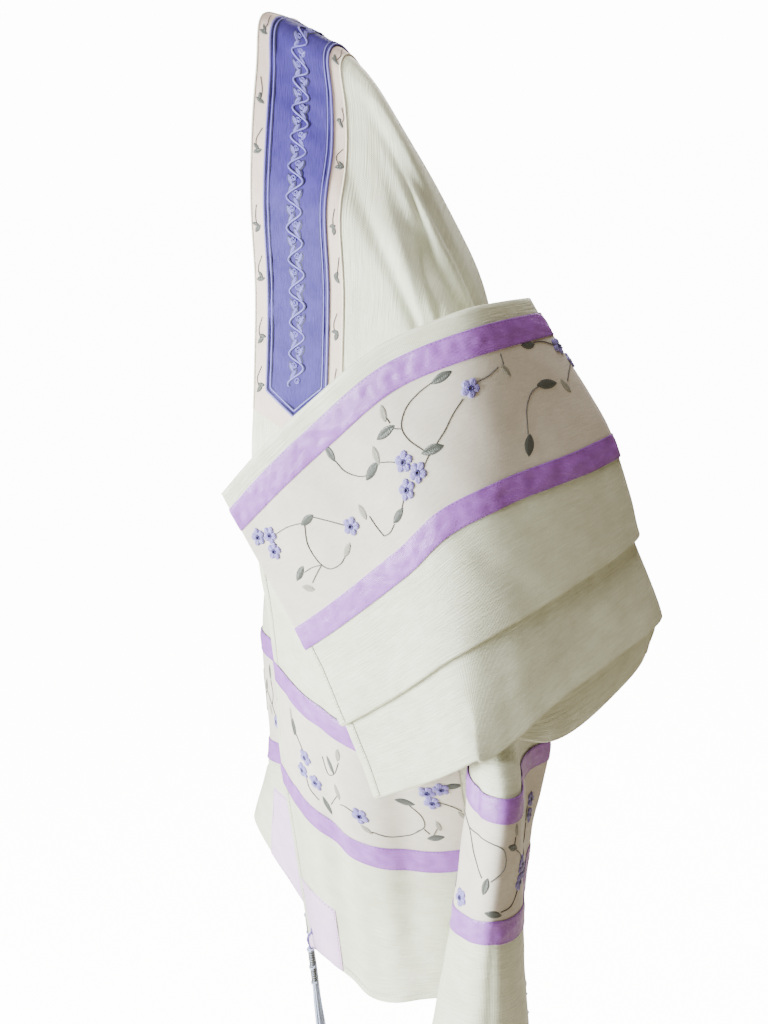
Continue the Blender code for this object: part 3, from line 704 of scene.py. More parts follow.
# Satin, woven with long floats: a pale even lilac with a low gloss
SQUARE_SATIN = fabric("corner square satin", "#E9C8F0", "#D4B0E2", 0.34, (0.0009, 0.0012), (0.010, 0.004),
                      0.00004, 0.10)
# Rayon embroidery thread, loosely twisted: dull dark lines
STEM_THREAD = thread_finish("grey rayon stem thread", "#4A4744", 0.5)
# Rayon satin stitch, threads laid side by side: leaves that glint along their stitches
LEAF_THREAD = thread_finish("silver grey rayon satin stitch", "#4E524E", 0.36, stitched=True)
# The same stitch in a paler thread: soft leaves that stand back
PALE_THREAD = thread_finish("pale grey rayon satin stitch", "#9A978C", 0.45, stitched=True)
# The same stitch in lavender: raised petals with bright edges
FLOWER_THREAD = thread_finish("lavender rayon satin stitch", "#8C80CA", 0.36, stitched=True)
# Rayon thread wound to a ring: a small deep dot in each bloom
CENTRE_THREAD = thread_finish("dark purple rayon ring", "#352B6C", 0.45)
# Twisted rayon cord, laid and sewn down: light raised lines on the taffeta
BORDER_THREAD = thread_finish("light purple rayon cord", "#7069C0", 0.42)
# Polyester sewing thread, tight and thin: dark lines beside the cords, and the painted shadow laid beside the
# scroll
STITCH_THREAD = thread_finish("dark purple polyester thread", "#231C48", 0.6)
# Rayon satin stitch over padding: raised leaves a little lighter than the taffeta
ORNAMENT_THREAD = thread_finish("purple rayon satin stitch", "#625BB4", 0.38, stitched=True)
# Polyester sewing thread: small stitches darker than the ribbon
LILAC_THREAD = thread_finish("lilac polyester thread", "#7A4FA2", 0.5)
# Cotton piping cord: a thin cream edge
PIPING_CORD = thread_finish("cream cotton piping", "#F3EBD6", 0.5)
# Silk sewing thread: small stitches a little darker than the hem
SILK_THREAD = thread_finish("silk sewing thread", "#A9AE90", 0.5)
# Wool cord, spun and plied: soft pale strands with a visible twist
PALE_CORD = thread_finish("pale wool cord", "#B9C4E2", 0.65)
# The same cord dyed purple: darker loops, eyelets and one strand of each tassel
PURPLE_CORD = thread_finish("purple wool cord", "#5D4C98", 0.55)
# The same cord dyed grey: the close turns of the winding
GREY_CORD = thread_finish("grey wool cord", "#5E5C54", 0.6)


def sewn(name, material, splines, radius, node=None):
    """Threads or cords of one radius, each a row of points, as one piece."""
    data = bpy.data.curves.new(name, "CURVE")
    data.dimensions = "3D"
    data.bevel_depth = radius
    data.bevel_resolution = 1
    data.use_fill_caps = True
    for points in splines:
        line = data.splines.new("POLY")
        line.points.add(len(points) - 1)
        weighted = np.concatenate([points, np.ones((len(points), 1))], axis=1)
        line.points.foreach_set("co", weighted.reshape(-1))
    data.materials.append(material)
    carried(bpy.data.objects.new(name, data), node)


def stitches(surface, path, rise):
    """Running stitches along a path of (across, down) points on a surface."""
    fine = evenly(np.asarray(path, float), 0.0005)
    lengths = lengths_of(fine)
    rows = []
    for start in np.arange(0, lengths[-1] - STITCH_LENGTH, STITCH_LENGTH + STITCH_GAP):
        spots = np.linspace(start, start + STITCH_LENGTH, 4)
        x, y = (np.interp(spots, lengths, fine[:, k]) for k in (0, 1))
        rows.append(surface.at(x, y, rise * np.array([-0.6, 1.0, 1.0, -0.6])))
    return rows


Pad = namedtuple("Pad", "x y turn length width height blunt")


def pads(name, material, surface, shapes, rise=0.0):
    """Raised satin-stitch pads on a surface, turned in radians."""
    along, cross = np.linspace(-1, 1, 11), np.linspace(-1, 1, 7)
    a, c = np.meshgrid(along, cross)
    meshes = bmesh.new()
    points, flat = [], []
    for pad in shapes:
        bmesh.ops.create_grid(meshes, x_segments=len(along) - 1, y_segments=len(cross) - 1, size=1)
        half = np.clip(1 - np.abs(a) ** pad.blunt, 0.02, 1) ** 0.9 * pad.width / 2
        local_x, local_y = a * pad.length / 2, c * half
        crown = pad.height * (1 - c ** 2) ** 0.6 * np.clip(1 - np.abs(a) ** 6, 0, 1)
        crown = crown * (1 - 0.4 * np.exp(-(c / 0.16) ** 2))
        px = pad.x + local_x * math.cos(pad.turn) + local_y * math.sin(pad.turn)
        py = pad.y + local_x * math.sin(pad.turn) - local_y * math.cos(pad.turn)
        points.append(surface.at(px, py, rise + crown).reshape(-1, 3))
        flat.append(np.stack([local_x, np.abs(local_y)], -1).reshape(-1, 2))
    mesh = bpy.data.meshes.new(name)
    meshes.to_mesh(mesh)
    meshes.free()
    mesh.vertices.foreach_set("co", np.concatenate(points).reshape(-1))
    corner = np.empty(len(mesh.loops), dtype=np.int32)
    mesh.loops.foreach_get("vertex_index", corner)
    layer = mesh.uv_layers.new(name="cloth")
    layer.data.foreach_set("uv", np.concatenate(flat)[corner].reshape(-1))
    mesh.materials.append(material)
    mesh.shade_smooth()
    mesh.update()
    carried(bpy.data.objects.new(name, mesh))


def embroider(prefix, surface, vine):
    """Stems, leaves and blooms of a vine sewn on an organza stretch."""
    stems = []
    for stem in vine.stems:
        curve = spline(np.array(stem, float) * MM, np.linspace(0, 1, 12 * len(stem)))
        stems.append(surface.at(curve[:, 0], curve[:, 1], 0.0003))
    sewn(prefix + "_stems", STEM_THREAD, stems, STEM_RADIUS)
    for pale, material, word in ((False, LEAF_THREAD, "_leaves"), (True, PALE_THREAD, "_pale_leaves")):
        shapes = [Pad(leaf.x * MM, leaf.y * MM, math.radians(leaf.turn), leaf.length * MM,
                      leaf.length * LEAF_WIDTH * MM, LEAF_HEIGHT, 2.0)
                  for leaf in vine.leaves if leaf.pale == pale]
        pads(prefix + word, material, surface, shapes)
    petals, centres = [], []
    ring = np.linspace(0, 2 * math.pi, 13)
    for bloom in vine.blooms:
        x, y, size = bloom.x * MM, bloom.y * MM, bloom.size * BLOOM_SCALE * MM
        for petal in range(5):
            angle = math.radians(bloom.turn + 72 * petal)
            petals.append(Pad(x + 0.28 * size * math.cos(angle), y + 0.28 * size * math.sin(angle), angle,
                              0.46 * size, 0.42 * size, PETAL_HEIGHT, 3.0))
        centres.append(surface.at(x + 0.11 * size * np.cos(ring), y + 0.11 * size * np.sin(ring), 0.0015))
    pads(prefix + "_petals", FLOWER_THREAD, surface, petals, 0.0002)
    sewn(prefix + "_bloom_centres", CENTRE_THREAD, centres, 0.0009)


def mirrored_far(points):
    """Left-half points carried to the right half, set back where they are in front."""
    x, y, z = np.moveaxis(points, -1, 0)
    front = 1 - smooth_step(y, *FAR_BLEND_Y)
    low = 1 - smooth_step(-z, *FAR_BLEND_DROP) * FAR_LOW_SHARE
    return np.stack([-x, y + FAR_SET_BACK * smooth_step(x, *FAR_BLEND_X) * front * low, z], -1)


def shoulder_surface():
    """Fine surface of the shoulder piece, read along the neck edge from its middle and out from it."""
    edge = Line([fall.edge for fall in SHOULDER_FALLS])
    count = int(edge.total / MESH_STEP)
    stations = np.linspace(-edge.total, edge.total, 2 * count + 1)
    shares = np.interp(np.abs(stations), edge.lengths, np.linspace(0, 1, len(edge.lengths)))
    keys = spline(np.array([list(fall) for fall in SHOULDER_FALLS]), shares)
    keys[stations > 0] = mirrored_far(keys[stations > 0])
    band = np.arange(0, BACKING_WIDTH + 1e-6, MESH_STEP)
    below = np.linspace(0, 1, 81)[1:]
    columns = []
    for key in keys:
        line = Line(key)
        outs = np.concatenate([band, BACKING_WIDTH + (line.total - BACKING_WIDTH) * below])
        columns.append(line.at(outs))
    grid = np.stack(columns, axis=1)
    share = np.concatenate([np.zeros(len(band)), below])[:, None]
    depth = np.zeros(grid.shape[:2])
    for fold in SHOULDER_FOLDS:
        near = np.exp(-((stations[None, :] + fold.station) / fold.half_width) ** 2)
        begins = smooth_step(share, fold.start - FOLD_FADE, fold.start)
        ends = 1 - smooth_step(share, fold.end - FOLD_FADE, fold.end)
        depth = depth + SHOULDER_FOLD_BOOST * fold.depth * near * begins * ends
    grid = pressed(grid - normals_of(grid) * depth[..., None], CAPE_CREASES)
    grid = rippled(grid, 0.09, 0.0008, 3)
    outs = lengths_of(grid[:, len(stations) // 4])
    outs[:len(band)] = band
    return Surface(grid, stations, outs)


def hanging_grid(levels, columns):
    """Fine grid between level lines, and the rows at which the ribbons begin and end."""
    keys = np.array([[tuple(point) for point in level] for level in levels.values()])
    drops = [Line(keys[:, k]) for k in range(keys.shape[1])]
    stops = []
    for k, drop in enumerate(drops):
        upper = np.linalg.norm(keys[1, k] - keys[0, k])
        lower = upper + np.linalg.norm(keys[2, k] - keys[1, k])
        stops.append([0.0, upper, upper + RIBBON_WIDTH, lower, lower + RIBBON_WIDTH, drop.total])
    stops = np.array(stops)
    counts = [max(2, int(span / MESH_STEP)) for span in np.diff(stops.mean(axis=0))]
    marks = list(np.cumsum(counts))
    knots = np.concatenate([[0], marks])
    rows = np.arange(knots[-1] + 1)
    grid = np.stack([drop.at(np.interp(rows, knots, stop)) for drop, stop in zip(drops, stops)])
    return np.swapaxes(spline(grid, np.linspace(0, 1, columns)), 0, 1), marks


def draped(grid, marks):
    """The hanging pieces all round with their soft folds, as deep down as on the solids."""
    shares = np.cumsum((0,) + RING_ROWS) / sum(RING_ROWS)
    rows = np.interp(np.arange(len(grid)), [0] + marks, shares)[:, None]
    place = np.linspace(0, 1, grid.shape[1])[None, :]
    depth = np.zeros(grid.shape[:2])
    for drape in DRAPES:
        near = np.exp(-((place - drape.place) / drape.half_width) ** 2)
        depth = depth + drape.depth * near * smooth_step(rows, drape.start - FOLD_FADE / 2,
                                                         drape.start + FOLD_FADE)
    depth[0] = 0.0
    return grid - normals_of(grid) * depth[..., None]


def ring_level(name):
    """Level line all round, from the left front edge over the back to the right front edge."""
    back = BACK[name]
    right = (back.half, back.corner, back.side) + tuple(reversed(FAR_FRONT[name]))
    return list(NEAR_FRONT[name]) + list(back) + [(-x, y, z) for x, y, z in right]


def satin(name, grid, node, seed):
    """Puckered satin ribbon sewn along both edges."""
    flat = finer(grid, 2)
    share = np.abs(np.sin(np.linspace(0, math.pi, len(flat))))[:, None, None] ** 0.6
    fine = flat * (1 - share) + lifted(rippled(flat, 0.018, 0.0007, seed), 0.0006) * share
    cloth(name, fine, RIBBON, node, TRIM_WALL, True)
    ribbon = Surface(fine)
    seams = []
    for inset in (RIBBON_SEAM_INSET, ribbon.height - RIBBON_SEAM_INSET):
        seams += stitches(ribbon, [(0.002, inset), (ribbon.width - 0.002, inset)], TRIM_WALL + STITCH_RISE)
    sewn(name + "_stitching", LILAC_THREAD, seams, SEWING_RADIUS)


def decoration(prefix, grid, marks, vine, seed, rows=("upper", "lower")):
    """Ribbon, organza and ribbon lying on a panel, with the vine on the organza."""
    first, second, third, last = marks
    raised = lifted(grid, TRIM_LIFT)
    over = lifted(grid, TRIM_LIFT + TRIM_TOP)
    cloth(prefix + "_organza_band", raised[second - 1:third + 2], ORGANZA, prefix + "_organza",
          TRIM_WALL, True)
    satin(f"{prefix}_satin_{rows[0]}", over[first:second + 1], f"{prefix}_ribbon_{rows[0]}", seed)
    satin(f"{prefix}_satin_{rows[1]}", over[third:last + 1], f"{prefix}_ribbon_{rows[1]}", seed + 1)
    embroider(prefix, Surface(lifted(grid[second:third + 1], TRIM_TOP)), vine)


def repeated_vine(width, seed):
    """General vine for a stretch that the photograph hides: units of stems, leaves and blooms."""
    rng = random.Random(seed)
    stems, leaves, blooms = [], [], []
    start = 12.0
    while start < width * 1000 - 80:
        x, flip = start, rng.choice((1, -1))
        middle = 57 + rng.uniform(-6, 6)

        def spot(dx, dy):
            return (x + dx, middle + flip * dy)

        stems.append([spot(8, 10), spot(22, 26), spot(42, 24), spot(54, 6), spot(48, -14), spot(34, -22)])
        stems.append([spot(54, 6), spot(68, 10), spot(84, -4), spot(96, -20)])
        stems.append([spot(84, -4), spot(94, 12), spot(90, 30)])
        blooms += [Bloom(*spot(*place), rng.uniform(0, 72), 16)
                   for place in ((4, 2), (14, 16), (-3, 20), (98, -24))]
        leaves += [Leaf(*spot(28, -27), -30 * flip, 20, False), Leaf(*spot(48, 32), 40 * flip, 17, True),
                   Leaf(*spot(66, 19), 70 * flip, 19, False), Leaf(*spot(89, 40), 95 * flip, 20, False),
                   Leaf(*spot(76, -11), -60 * flip, 16, True)]
        start += rng.uniform(118, 132)
    return Vine(stems, leaves, blooms)


def edge_hem(prefix, surface, across, down, seam):
    """Folded hem along an edge, with its stitching."""
    grid = surface.patch(across, down, 0.003, TRIM_LIFT)
    cloth(prefix + "_hem", grid, SILK, None, TRIM_WALL, True)
    sewn(prefix + "_hem_stitching", SILK_THREAD, stitches(surface, seam, TRIM_TOP + STITCH_RISE),
         SEWING_RADIUS)


def front_hem(prefix, surface, top):
    """Hem down the front edge of a piece, from a given depth to its foot."""
    seam = HEM_WIDTH - SEAM_INSET
    edge_hem(prefix, surface, (0.0, HEM_WIDTH), (top, surface.height), [(seam, top), (seam, surface.height)])


def band_outline(inset):
    """Outline of the pointed neckband, drawn in by an inset: (station, out) points round it."""
    half = (BACKING_WIDTH - 2 * BAND_MARGIN) / 2
    slope = half / BAND_POINT
    tip = inset / math.sin(math.atan(slope))
    corner = BAND_HALF_LENGTH - (half - inset) / slope - tip
    end = BAND_HALF_LENGTH - tip
    middle = BACKING_WIDTH / 2
    low, up = middle - half + inset, middle + half - inset
    return np.array([(-end, middle), (-corner, low), (corner, low), (end, middle), (corner, up),
                     (-corner, up), (-end, middle)])


def pointed_strip(surface, low, high, half_length, rise, step=0.004):
    """Grid of a strip with a point at each end, on the shoulder surface."""
    body = np.linspace(-half_length + BAND_POINT, half_length - BAND_POINT,
                       2 * round((half_length - BAND_POINT) / step) + 1)
    point = np.linspace(half_length - BAND_POINT, half_length, 9)[1:]
    stations = np.concatenate([-point[::-1], body, point])
    width = np.clip((half_length - np.abs(stations)) / BAND_POINT, 0.01, 1.0)
    share = np.linspace(-0.5, 0.5, round((high - low) / step) + 1)
    outs = (low + high) / 2 + share[:, None] * (high - low) * width[None, :]
    return surface.at(np.broadcast_to(stations[None, :], outs.shape), outs, rise)


def band_ornament(surface, rise):
    """Running scroll with leaves and curls down the middle of the neckband."""
    middle = BACKING_WIDTH / 2
    reach = BAND_HALF_LENGTH - BAND_POINT - 0.004
    stations = np.linspace(-reach, reach, 700)
    outs = middle + SCROLL_WAVE * np.sin(stations / SCROLL_PITCH * 2 * math.pi)
    scroll = surface.at(stations, outs, rise + 0.0004)
    sewn("band_scroll", BORDER_THREAD, [scroll], 0.0009)
    # A dark thread just beside the raised scroll: a painted shadow of the scroll
    shadow = surface.at(stations, outs + 0.0013, rise)
    sewn("band_scroll_shadow", STITCH_THREAD, [shadow], 0.0006)
    leaves, under, curls = [], [], []
    for i in range(int(4 * reach / SCROLL_PITCH)):
        crest = -reach + 0.012 + i * SCROLL_PITCH / 2
        side = 1 if math.sin(crest / SCROLL_PITCH * 2 * math.pi) > 0 else -1
        turn = math.radians(35 * side)
        for shift, lean in ((0.0, 0.0), (0.007, 0.9)):
            spot = (crest + shift, middle - side * 0.003 * (1 + shift * 100))
            leaves.append(Pad(*spot, turn * (1 - lean * 2), 0.0115, 0.0044, 0.0012, 2.2))
            under.append(Pad(*spot, turn * (1 - lean * 2), 0.0140, 0.0068, 0.0004, 2.2))
        ring = np.linspace(0, 3.6 * math.pi, 40)
        radius = 0.0006 + 0.0026 * ring / ring[-1]
        curls.append(surface.at(crest - 0.006 + radius * np.cos(ring),
                                middle + side * (0.002 + radius * np.sin(ring)), rise + 0.0005))
    pads("band_leaf_outlines", STITCH_THREAD, surface, under, rise)
    pads("band_leaves", ORNAMENT_THREAD, surface, leaves, rise)
    sewn("band_curls", BORDER_THREAD, curls, 0.0005)


def build_neckband(shoulders):
    """Backing with piped edges and small sewn sprigs, and the taffeta band with its borders."""
    backing = pointed_strip(shoulders, 0.0, BACKING_WIDTH, BACKING_HALF_LENGTH, TRIM_LIFT)
    cloth("neckband_backing_organza", backing, BACKING, "neckband_backing", TRIM_WALL, True)
    edges = []
    for out in (RIBBON_SEAM_INSET, BACKING_WIDTH - RIBBON_SEAM_INSET):
        stations = np.linspace(-BACKING_HALF_LENGTH + BAND_POINT, BACKING_HALF_LENGTH - BAND_POINT, 260)
        edges.append(shoulders.at(stations, out, TRIM_TOP))
    sewn("backing_piping", PIPING_CORD, edges, 0.0009)
    rise = TRIM_TOP + 0.0006
    band = pointed_strip(shoulders, BAND_MARGIN, BACKING_WIDTH - BAND_MARGIN, BAND_HALF_LENGTH, rise, 0.003)
    band = rippled(band, 0.030, 0.0006, 21)
    cloth("neckband_taffeta", band, TAFFETA, "neckband", TRIM_WALL, True)
    top = rise + TRIM_WALL + STITCH_RISE
    for name, inset, radius, material in (("band_rolled_edge", 0.0012, 0.0013, BORDER_THREAD),
                                          ("band_outer_stitching", 0.0030, 0.0004, STITCH_THREAD),
                                          ("band_inner_border", 0.0058, 0.0008, BORDER_THREAD),
                                          ("band_inner_stitching", 0.0072, 0.0004, STITCH_THREAD)):
        path = evenly(band_outline(inset), 0.003)
        sewn(name, material, [shoulders.at(path[:, 0], path[:, 1], top)], radius)
    band_ornament(shoulders, top)
    sprigs, sprig_stems = [], []
    rng = random.Random(8)
    for margin in (0.0075, BACKING_WIDTH - 0.0075):
        station = -BAND_HALF_LENGTH + 0.03
        while station < BAND_HALF_LENGTH - 0.02:
            turn = rng.uniform(0, math.pi)
            sprigs.append(Pad(station, margin, turn, 0.010, 0.0048, 0.0008, 2.0))
            sprigs.append(Pad(station + 0.004, margin + rng.uniform(-.002, .002), turn + 1.1, 0.008, 0.0040,
                              0.0008, 2.0))
            curve = np.array([(station, margin), (station + 0.010, margin + rng.uniform(-.004, .004)),
                              (station + 0.022, margin + rng.uniform(-.004, .004))])
            curve = spline(curve, np.linspace(0, 1, 14))
            sprig_stems.append(shoulders.at(curve[:, 0], curve[:, 1], TRIM_TOP + 0.0003))
            station += rng.uniform(0.045, 0.075)
    pads("backing_sprigs", LEAF_THREAD, shoulders, sprigs, TRIM_TOP)
    sewn("backing_sprig_stems", STEM_THREAD, sprig_stems, 0.0004)


def stack_layer(name, lines, stops, depth, node, seed, creases, shelf=None):
    """One folded layer: down its front by the stops, round the fold and a little way up behind."""
    layer = np.stack([line.at(stop) for line, stop in zip(lines, np.array(stops).T)], axis=1)
    layer = rippled(pressed(layer, creases), 0.06, 0.0006, seed)
    normals = normals_of(layer)
    layer = layer - normals * depth
    down = layer[-1] - layer[-2]
    down /= np.linalg.norm(down, axis=1, keepdims=True)
    radius = STACK_FOLD_RADIUS
    curl = [layer[-1] - normals[-1] * radius * (1 - math.cos(a)) + down * radius * math.sin(a)
            for a in np.linspace(0, math.pi, 9)[1:]]
    inner = layer[-1] - normals[-1] * 2 * radius
    back = [inner - down * STACK_RETURN * share for share in (0.33, 0.66, 1.0)]
    parts = [layer, np.array(curl), np.array(back)]
    if shelf is not None:
        parts.insert(0, np.array([layer[0] * (1 - share) + shelf * share
                                  + np.array([0, 0, SHELF_ARCH * math.sin(math.pi * share)])
                                  for share in np.linspace(1, 0, 13)[:-1]]))
    cloth(name, np.concatenate(parts), SILK, node)
    return layer


def spread(start, end, count):
    """Even steps from start to end, without the start itself."""
    return [start + (end - start) * step / count for step in range(1, count + 1)]


def stack_shelf(shoulders, lines):
    """Row of points on the shoulders under the stack's top edge, where its first fold rests."""
    flat = shoulders.grid.reshape(-1, 3)
    outward = shoulders.normals.reshape(-1, 3)
    tops = np.array([line.at(np.array([0.0]))[0] for line in lines]) - np.array([0, 0, SHELF_DROP])
    nearest = [np.argmin(((flat - top) ** 2).sum(axis=1)) for top in tops]
    shelf = np.pad(flat[nearest] + outward[nearest] * 0.0016, ((3, 3), (0, 0)), mode="edge")
    kernel = np.array([1, 2, 3, 4, 3, 2, 1]) / 16
    return np.stack([np.convolve(shelf[:, k], kernel, mode="valid") for k in range(3)], axis=1)


def build_stack(shoulders):
    """Three folded layers that hang at the left side, the outer one decorated."""
    names = list(STACK)
    keys = np.array([[tuple(point) for point in STACK[name]] for name in names])
    shares = np.linspace(0, 1, STACK_COLUMNS)
    fine = np.swapaxes(spline(np.swapaxes(keys, 0, 1), shares), 0, 1)
    lines = [Line(fine[:, column]) for column in range(STACK_COLUMNS)]
    crossings = {name: np.array([line.lengths[160 * level // (len(names) - 1)] for line in lines])
                 for level, name in enumerate(names)}
    stops, marks = [np.zeros(STACK_COLUMNS)], []
    for width in (STRIP_WIDTH, RIBBON_WIDTH, ORGANZA_WIDTH, RIBBON_WIDTH):
        stops += spread(stops[-1], stops[-1] + width, math.ceil(width / MESH_STEP))
        marks.append(len(stops) - 1)
    outer = stack_layer("silk_stack_outer", lines, stops + spread(stops[-1], crossings["fold"], 15), 0.0,
                        "stack_layer_outer", 11, OUTER_CREASES, stack_shelf(shoulders, lines))
    decoration("stack", outer, marks, STACK_VINE, 31, ("top", "bottom"))
    front_hem("stack_front", Surface(outer), STRIP_WIDTH + 2 * RIBBON_WIDTH + ORGANZA_WIDTH)
    hidden = crossings["fold"] - MIDDLE_TUCK
    middle = stack_layer("silk_stack_middle", lines, [hidden] + spread(hidden, crossings["second"], 26),
                         STACK_LAYER_DEPTH, "stack_layer_middle", 12, MIDDLE_CREASES)
    front_hem("middle_front", Surface(middle), 0.0)
    hidden = crossings["second"] - INNER_TUCK
    rise = HIDDEN_RISE * (1 - smooth_step(np.arange(STACK_COLUMNS) / STACK_COLUMNS, *HIDDEN_SHARES))
    stack_layer("silk_stack_inner", lines, [hidden] + spread(hidden, crossings["third"] - rise, 14),
                2 * STACK_LAYER_DEPTH, "stack_layer_inner", 13, [])


def corner_square(prefix, surface, at_left):
    """Satin square on a panel's lower corner, with a stitched eyelet; returns the eyelet's place."""
    left = (0.0, SQUARE) if at_left else (surface.width - SQUARE, surface.width)
    bottom = (surface.height - SQUARE, surface.height)
    grid = rippled(surface.patch(left, bottom, 0.004, TRIM_LIFT), 0.03, 0.0005, len(prefix))
    cloth(prefix + "_satin_square", grid, SQUARE_SATIN, prefix + "_square", TRIM_WALL, True)
    start, end = left[0] + SEAM_INSET, left[1] - SEAM_INSET
    high, low = bottom[0] + SEAM_INSET, bottom[1] - SEAM_INSET
    sides = [(start, high), (end, high), (end, low), (start, low), (start, high)]
    sewn(prefix + "_square_stitching", LILAC_THREAD,
         stitches(surface, sides, TRIM_TOP + STITCH_RISE), SEWING_RADIUS)
    across = left[0] + EYELET_INSET if at_left else left[1] - EYELET_INSET
    down = bottom[1] - EYELET_INSET
    ring = np.linspace(0, 2 * math.pi, 25)
    rings = [surface.at(across + radius * np.cos(ring), down + radius * np.sin(ring), TRIM_TOP + 0.0004)
             for radius in EYELET_RADII]
    sewn(prefix + "_eyelet", PURPLE_CORD, rings, EYELET_THREAD)
    return surface.at(np.array([across]), np.array([down]), TRIM_TOP + 0.001)[0]


def build_tassel(prefix, eyelet, surface, at_left, seed):
    """Cord loop from the eyelet, wound head with knots, and eight long strands with knotted ends."""
    rng = random.Random(seed)
    across = EYELET_INSET if at_left else surface.width - EYELET_INSET
    foot = surface.at(np.array([across]), np.array([surface.height]), 0.0)[0]
    normal = surface.at(np.array([across]), np.array([surface.height]), 1.0)[0] - foot
    normal[2] = 0.0
    normal /= np.linalg.norm(normal)
    top = foot + normal * TASSEL_STAND_OFF + np.array([0, 0, 0.004])
    side = np.cross(normal, (0, 0, 1.0))
    loop = []
    for shift in (-LOOP_HALF_GAP, LOOP_HALF_GAP):
        loop.append(spline(np.array([eyelet, eyelet * 0.6 + top * 0.4 + normal * 0.004 + side * shift,
                                     top + side * shift]), np.linspace(0, 1, 18)))
    sewn(prefix + "_loop", PURPLE_CORD, loop, CORD_RADIUS)
    t = np.linspace(0, 1, HEAD_TURNS * 12)
    turn = t * HEAD_TURNS * 2 * math.pi
    helix = np.stack([WINDING_RADIUS * np.cos(turn), WINDING_RADIUS * np.sin(turn), -t * HEAD_HEIGHT], -1)
    sewn(prefix + "_winding", GREY_CORD, [helix + top], WINDING_CORD, prefix + "_tassel")
    core = np.linspace(top, top + np.array([0, 0, -HEAD_HEIGHT]), 8)
    sewn(prefix + "_core", PALE_CORD, [core], CORE_RADIUS)
    ring = np.linspace(0, 2 * math.pi, 17)
    knot = np.stack([KNOT_RADIUS * np.cos(ring), KNOT_RADIUS * np.sin(ring), 0.0008 * np.sin(2 * ring)], -1)
    knots = [top + np.array([0, 0, -drop]) + knot for drop in KNOT_DROPS]
    sewn(prefix + "_knots", PALE_CORD, knots, KNOT_CORD)
    pale, purple = [], []
    for strand in range(STRAND_COUNT):
        angle = strand * 2 * math.pi / STRAND_COUNT
        out = np.array([math.cos(angle), math.sin(angle), 0.0])
        length = STRAND_LENGTH * (1 - 0.05 * (strand % 3))
        t = np.linspace(0, 1, 40)
        sway = 0.0012 * np.sin(t * rng.uniform(9, 15) + rng.uniform(0, 6)) * t
        reach = STRAND_ROOT + STRAND_SPREAD * t
        points = top + np.array([0, 0, -HEAD_HEIGHT]) + out * (reach + sway)[:, None]
        points[:, 2] -= t * length
        points[:, :2] += np.array(STRAND_LEAN) * t[:, None]
        (purple if strand == PURPLE_STRAND else pale).append(points)
    sewn(prefix + "_strands", PALE_CORD, pale, CORD_RADIUS)
    sewn(prefix + "_purple_strand", PURPLE_CORD, purple, CORD_RADIUS)
    ring = np.linspace(0, 2 * math.pi, 9)
    tip = np.stack([TIP_KNOT_RADIUS * np.cos(ring), TIP_KNOT_RADIUS * np.sin(ring), np.zeros(len(ring))], -1)
    tips = [points[-6] + tip for points in pale + purple]
    sewn(prefix + "_tip_knots", PALE_CORD, tips, CORD_RADIUS)


def joined(ring, shoulders):
    """The ring with its top rows eased just over the shoulder piece's foot, so that the silk runs on."""
    piece = shoulders.grid
    foot = evenly(np.concatenate([piece[:, 0], piece[-1, 1:], piece[-2::-1, -1]]), 0.001)
    nearest = [np.argmin(((foot - point) ** 2).sum(axis=1)) for point in ring[0]]
    target = foot[nearest]
    target[:, 2] = SPLIT + JOIN_OVERLAP
    fade = 1 - smooth_step(np.arange(len(ring)), 0, JOIN_ROWS)
    return ring + (target - ring[0])[None, :, :] * fade[:, None, None]


def build_hanging(shoulders):
    """Front, back and side falls with their decoration, hems, corner squares and tassels."""
    levels = {name: ring_level(name) for name in BACK}
    ring, marks = hanging_grid(levels, RING_COLUMNS)
    ring = joined(rippled(draped(ring, marks), 0.08, 0.0006, 5), shoulders)
    near = pressed(ring[:, :LEFT_CUT + 1], FRONT_CREASES)
    back = pressed(ring[:, LEFT_CUT:RIGHT_CUT + 1], BACK_CREASES)
    far = pressed(ring[:, RIGHT_CUT:], FRONT_CREASES)
    near[:, -1] = back[:, 0] = ring[:, LEFT_CUT]
    back[:, -1] = far[:, 0] = ring[:, RIGHT_CUT]
    cloth("silk_left_front", near, SILK, "near_front_fall")
    cloth("silk_back", back, SILK, "back_fall")
    cloth("silk_right_front", far, SILK, "far_front_fall")
    column, column_marks = hanging_grid(COLUMN, COLUMN_COLUMNS)
    column = rippled(pressed(column, COLUMN_CREASES), 0.05, 0.0006, 7)
    cloth("silk_column", column, SILK, "near_back_fall")
    decoration("near_front", near, marks[:4], FRONT_VINE, 41)
    decoration("far_front", far, marks[:4], repeated_vine(Surface(far).width, 43), 43)
    decoration("near_back", column, column_marks[:4], COLUMN_VINE, 45)
    for prefix, grid, at_left, seed in (("near_front", near, True, 1), ("near_back", column, False, 2),
                                        ("far_front", far, False, 3), ("far_back", far, True, 4)):
        surface = Surface(grid)
        eyelet = corner_square(prefix, surface, at_left)
        build_tassel(prefix, eyelet, surface, at_left, seed)
    face = Surface(near)
    front_hem("left_front", face, 0.0)
    start, seam = SQUARE + 0.001, face.height - HEM_WIDTH + SEAM_INSET
    edge_hem("left_front_foot", face, (start, face.width), (face.height - HEM_WIDTH, face.height),
             [(start, seam), (face.width, seam)])


def build_camera():
    """Camera at the photograph's place, with its frame."""
    camera = bpy.data.objects.new("camera", bpy.data.cameras.new("camera"))
    camera.data.sensor_fit = "VERTICAL"
    camera.data.sensor_height = CAMERA_SENSOR
    camera.data.lens = CAMERA_LENS
    back = -CAMERA_FORWARD.normalized()
    right = CAMERA_UP.cross(back).normalized()
    up = back.cross(right)
    camera.matrix_world = Matrix.Translation(CAMERA_PLACE) @ Matrix((right, up, back)).transposed().to_4x4()
    bpy.context.scene.collection.objects.link(camera)
    bpy.context.scene.camera = camera


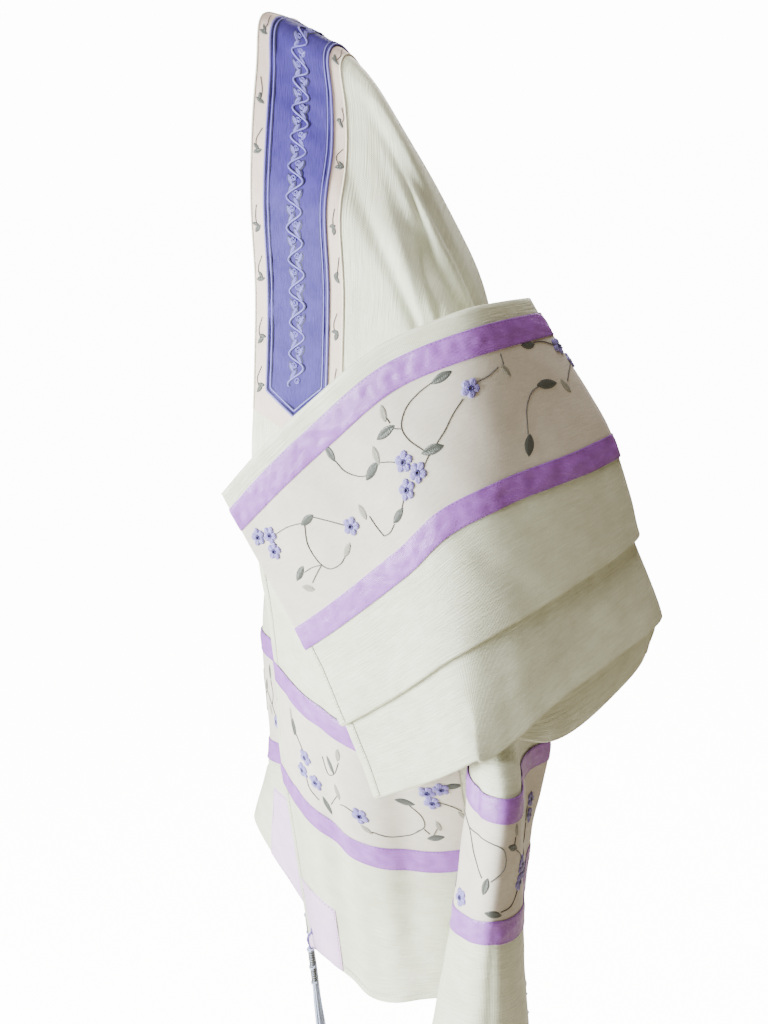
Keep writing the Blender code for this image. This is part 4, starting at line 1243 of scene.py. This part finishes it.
def soft_light(lamp):
    """Square soft light that faces the shawl's middle."""
    light = bpy.data.lights.new(lamp.name, "AREA")
    light.size = lamp.size
    light.energy = lamp.power
    light.color = lamp.tint
    light_object = bpy.data.objects.new(lamp.name, light)
    light_object.location = lamp.place
    aim = Vector(LAMP_AIM) - Vector(lamp.place)
    light_object.rotation_euler = aim.to_track_quat("-Z", "Y").to_euler()
    bpy.context.scene.collection.objects.link(light_object)


def build_floor():
    """Pale floor that shows white to the camera."""
    builder = bmesh.new()
    bmesh.ops.create_grid(builder, x_segments=1, y_segments=1, size=20.0)
    bmesh.ops.translate(builder, verts=builder.verts, vec=(0, 0, FLOOR_HEIGHT))
    mesh = bpy.data.meshes.new("floor")
    builder.to_mesh(mesh)
    builder.free()
    # Matt floor paint, rolled on: no gloss, and a warm light thrown back up
    paint = bpy.data.materials.new("pale matt floor paint")
    paint.use_nodes = True
    tree = paint.node_tree
    shader = tree.nodes["Principled BSDF"]
    shader.inputs["Base Color"].default_value = colour("#C9C0AF")
    shader.inputs["Roughness"].default_value = 0.9
    shader.inputs["Emission Color"].default_value = (1.0, 1.0, 1.0, 1.0)
    seen = add_node(tree, "ShaderNodeLightPath").outputs["Is Camera Ray"]
    glow = add_node(tree, "ShaderNodeMath", {0: seen, 1: FLOOR_GLOW}, operation="MULTIPLY")
    tree.links.new(glow.outputs[0], shader.inputs["Emission Strength"])
    mesh.materials.append(paint)
    floor = bpy.data.objects.new("floor", mesh)
    bpy.context.scene.collection.objects.link(floor)


def build_surroundings():
    """Warm soft light from all round, with white surroundings for the camera."""
    world = bpy.data.worlds.new("studio")
    world.use_nodes = True
    bpy.context.scene.world = world
    tree = world.node_tree
    seen = add_node(tree, "ShaderNodeLightPath").outputs["Is Camera Ray"]
    glow = tree.nodes["Background"]
    glow.inputs["Color"].default_value = colour("#EFD3A0")
    glow.inputs["Strength"].default_value = WORLD_STRENGTH
    white = add_node(tree, "ShaderNodeBackground", {"Color": (1, 1, 1, 1), "Strength": BACKGROUND_GLOW})
    mix = add_node(tree, "ShaderNodeMixShader", {0: seen, 1: glow.outputs[0], 2: white.outputs[0]})
    tree.links.new(mix.outputs[0], tree.nodes["World Output"].inputs["Surface"])


def main():
    build_camera()
    build_floor()
    build_surroundings()
    for lamp in LAMPS:
        soft_light(lamp)
    shoulders = shoulder_surface()
    cloth("silk_over_shoulders", shoulders.grid, SILK, "silk_shoulders")
    build_neckband(shoulders)
    build_hanging(shoulders)
    build_stack(shoulders)


main()
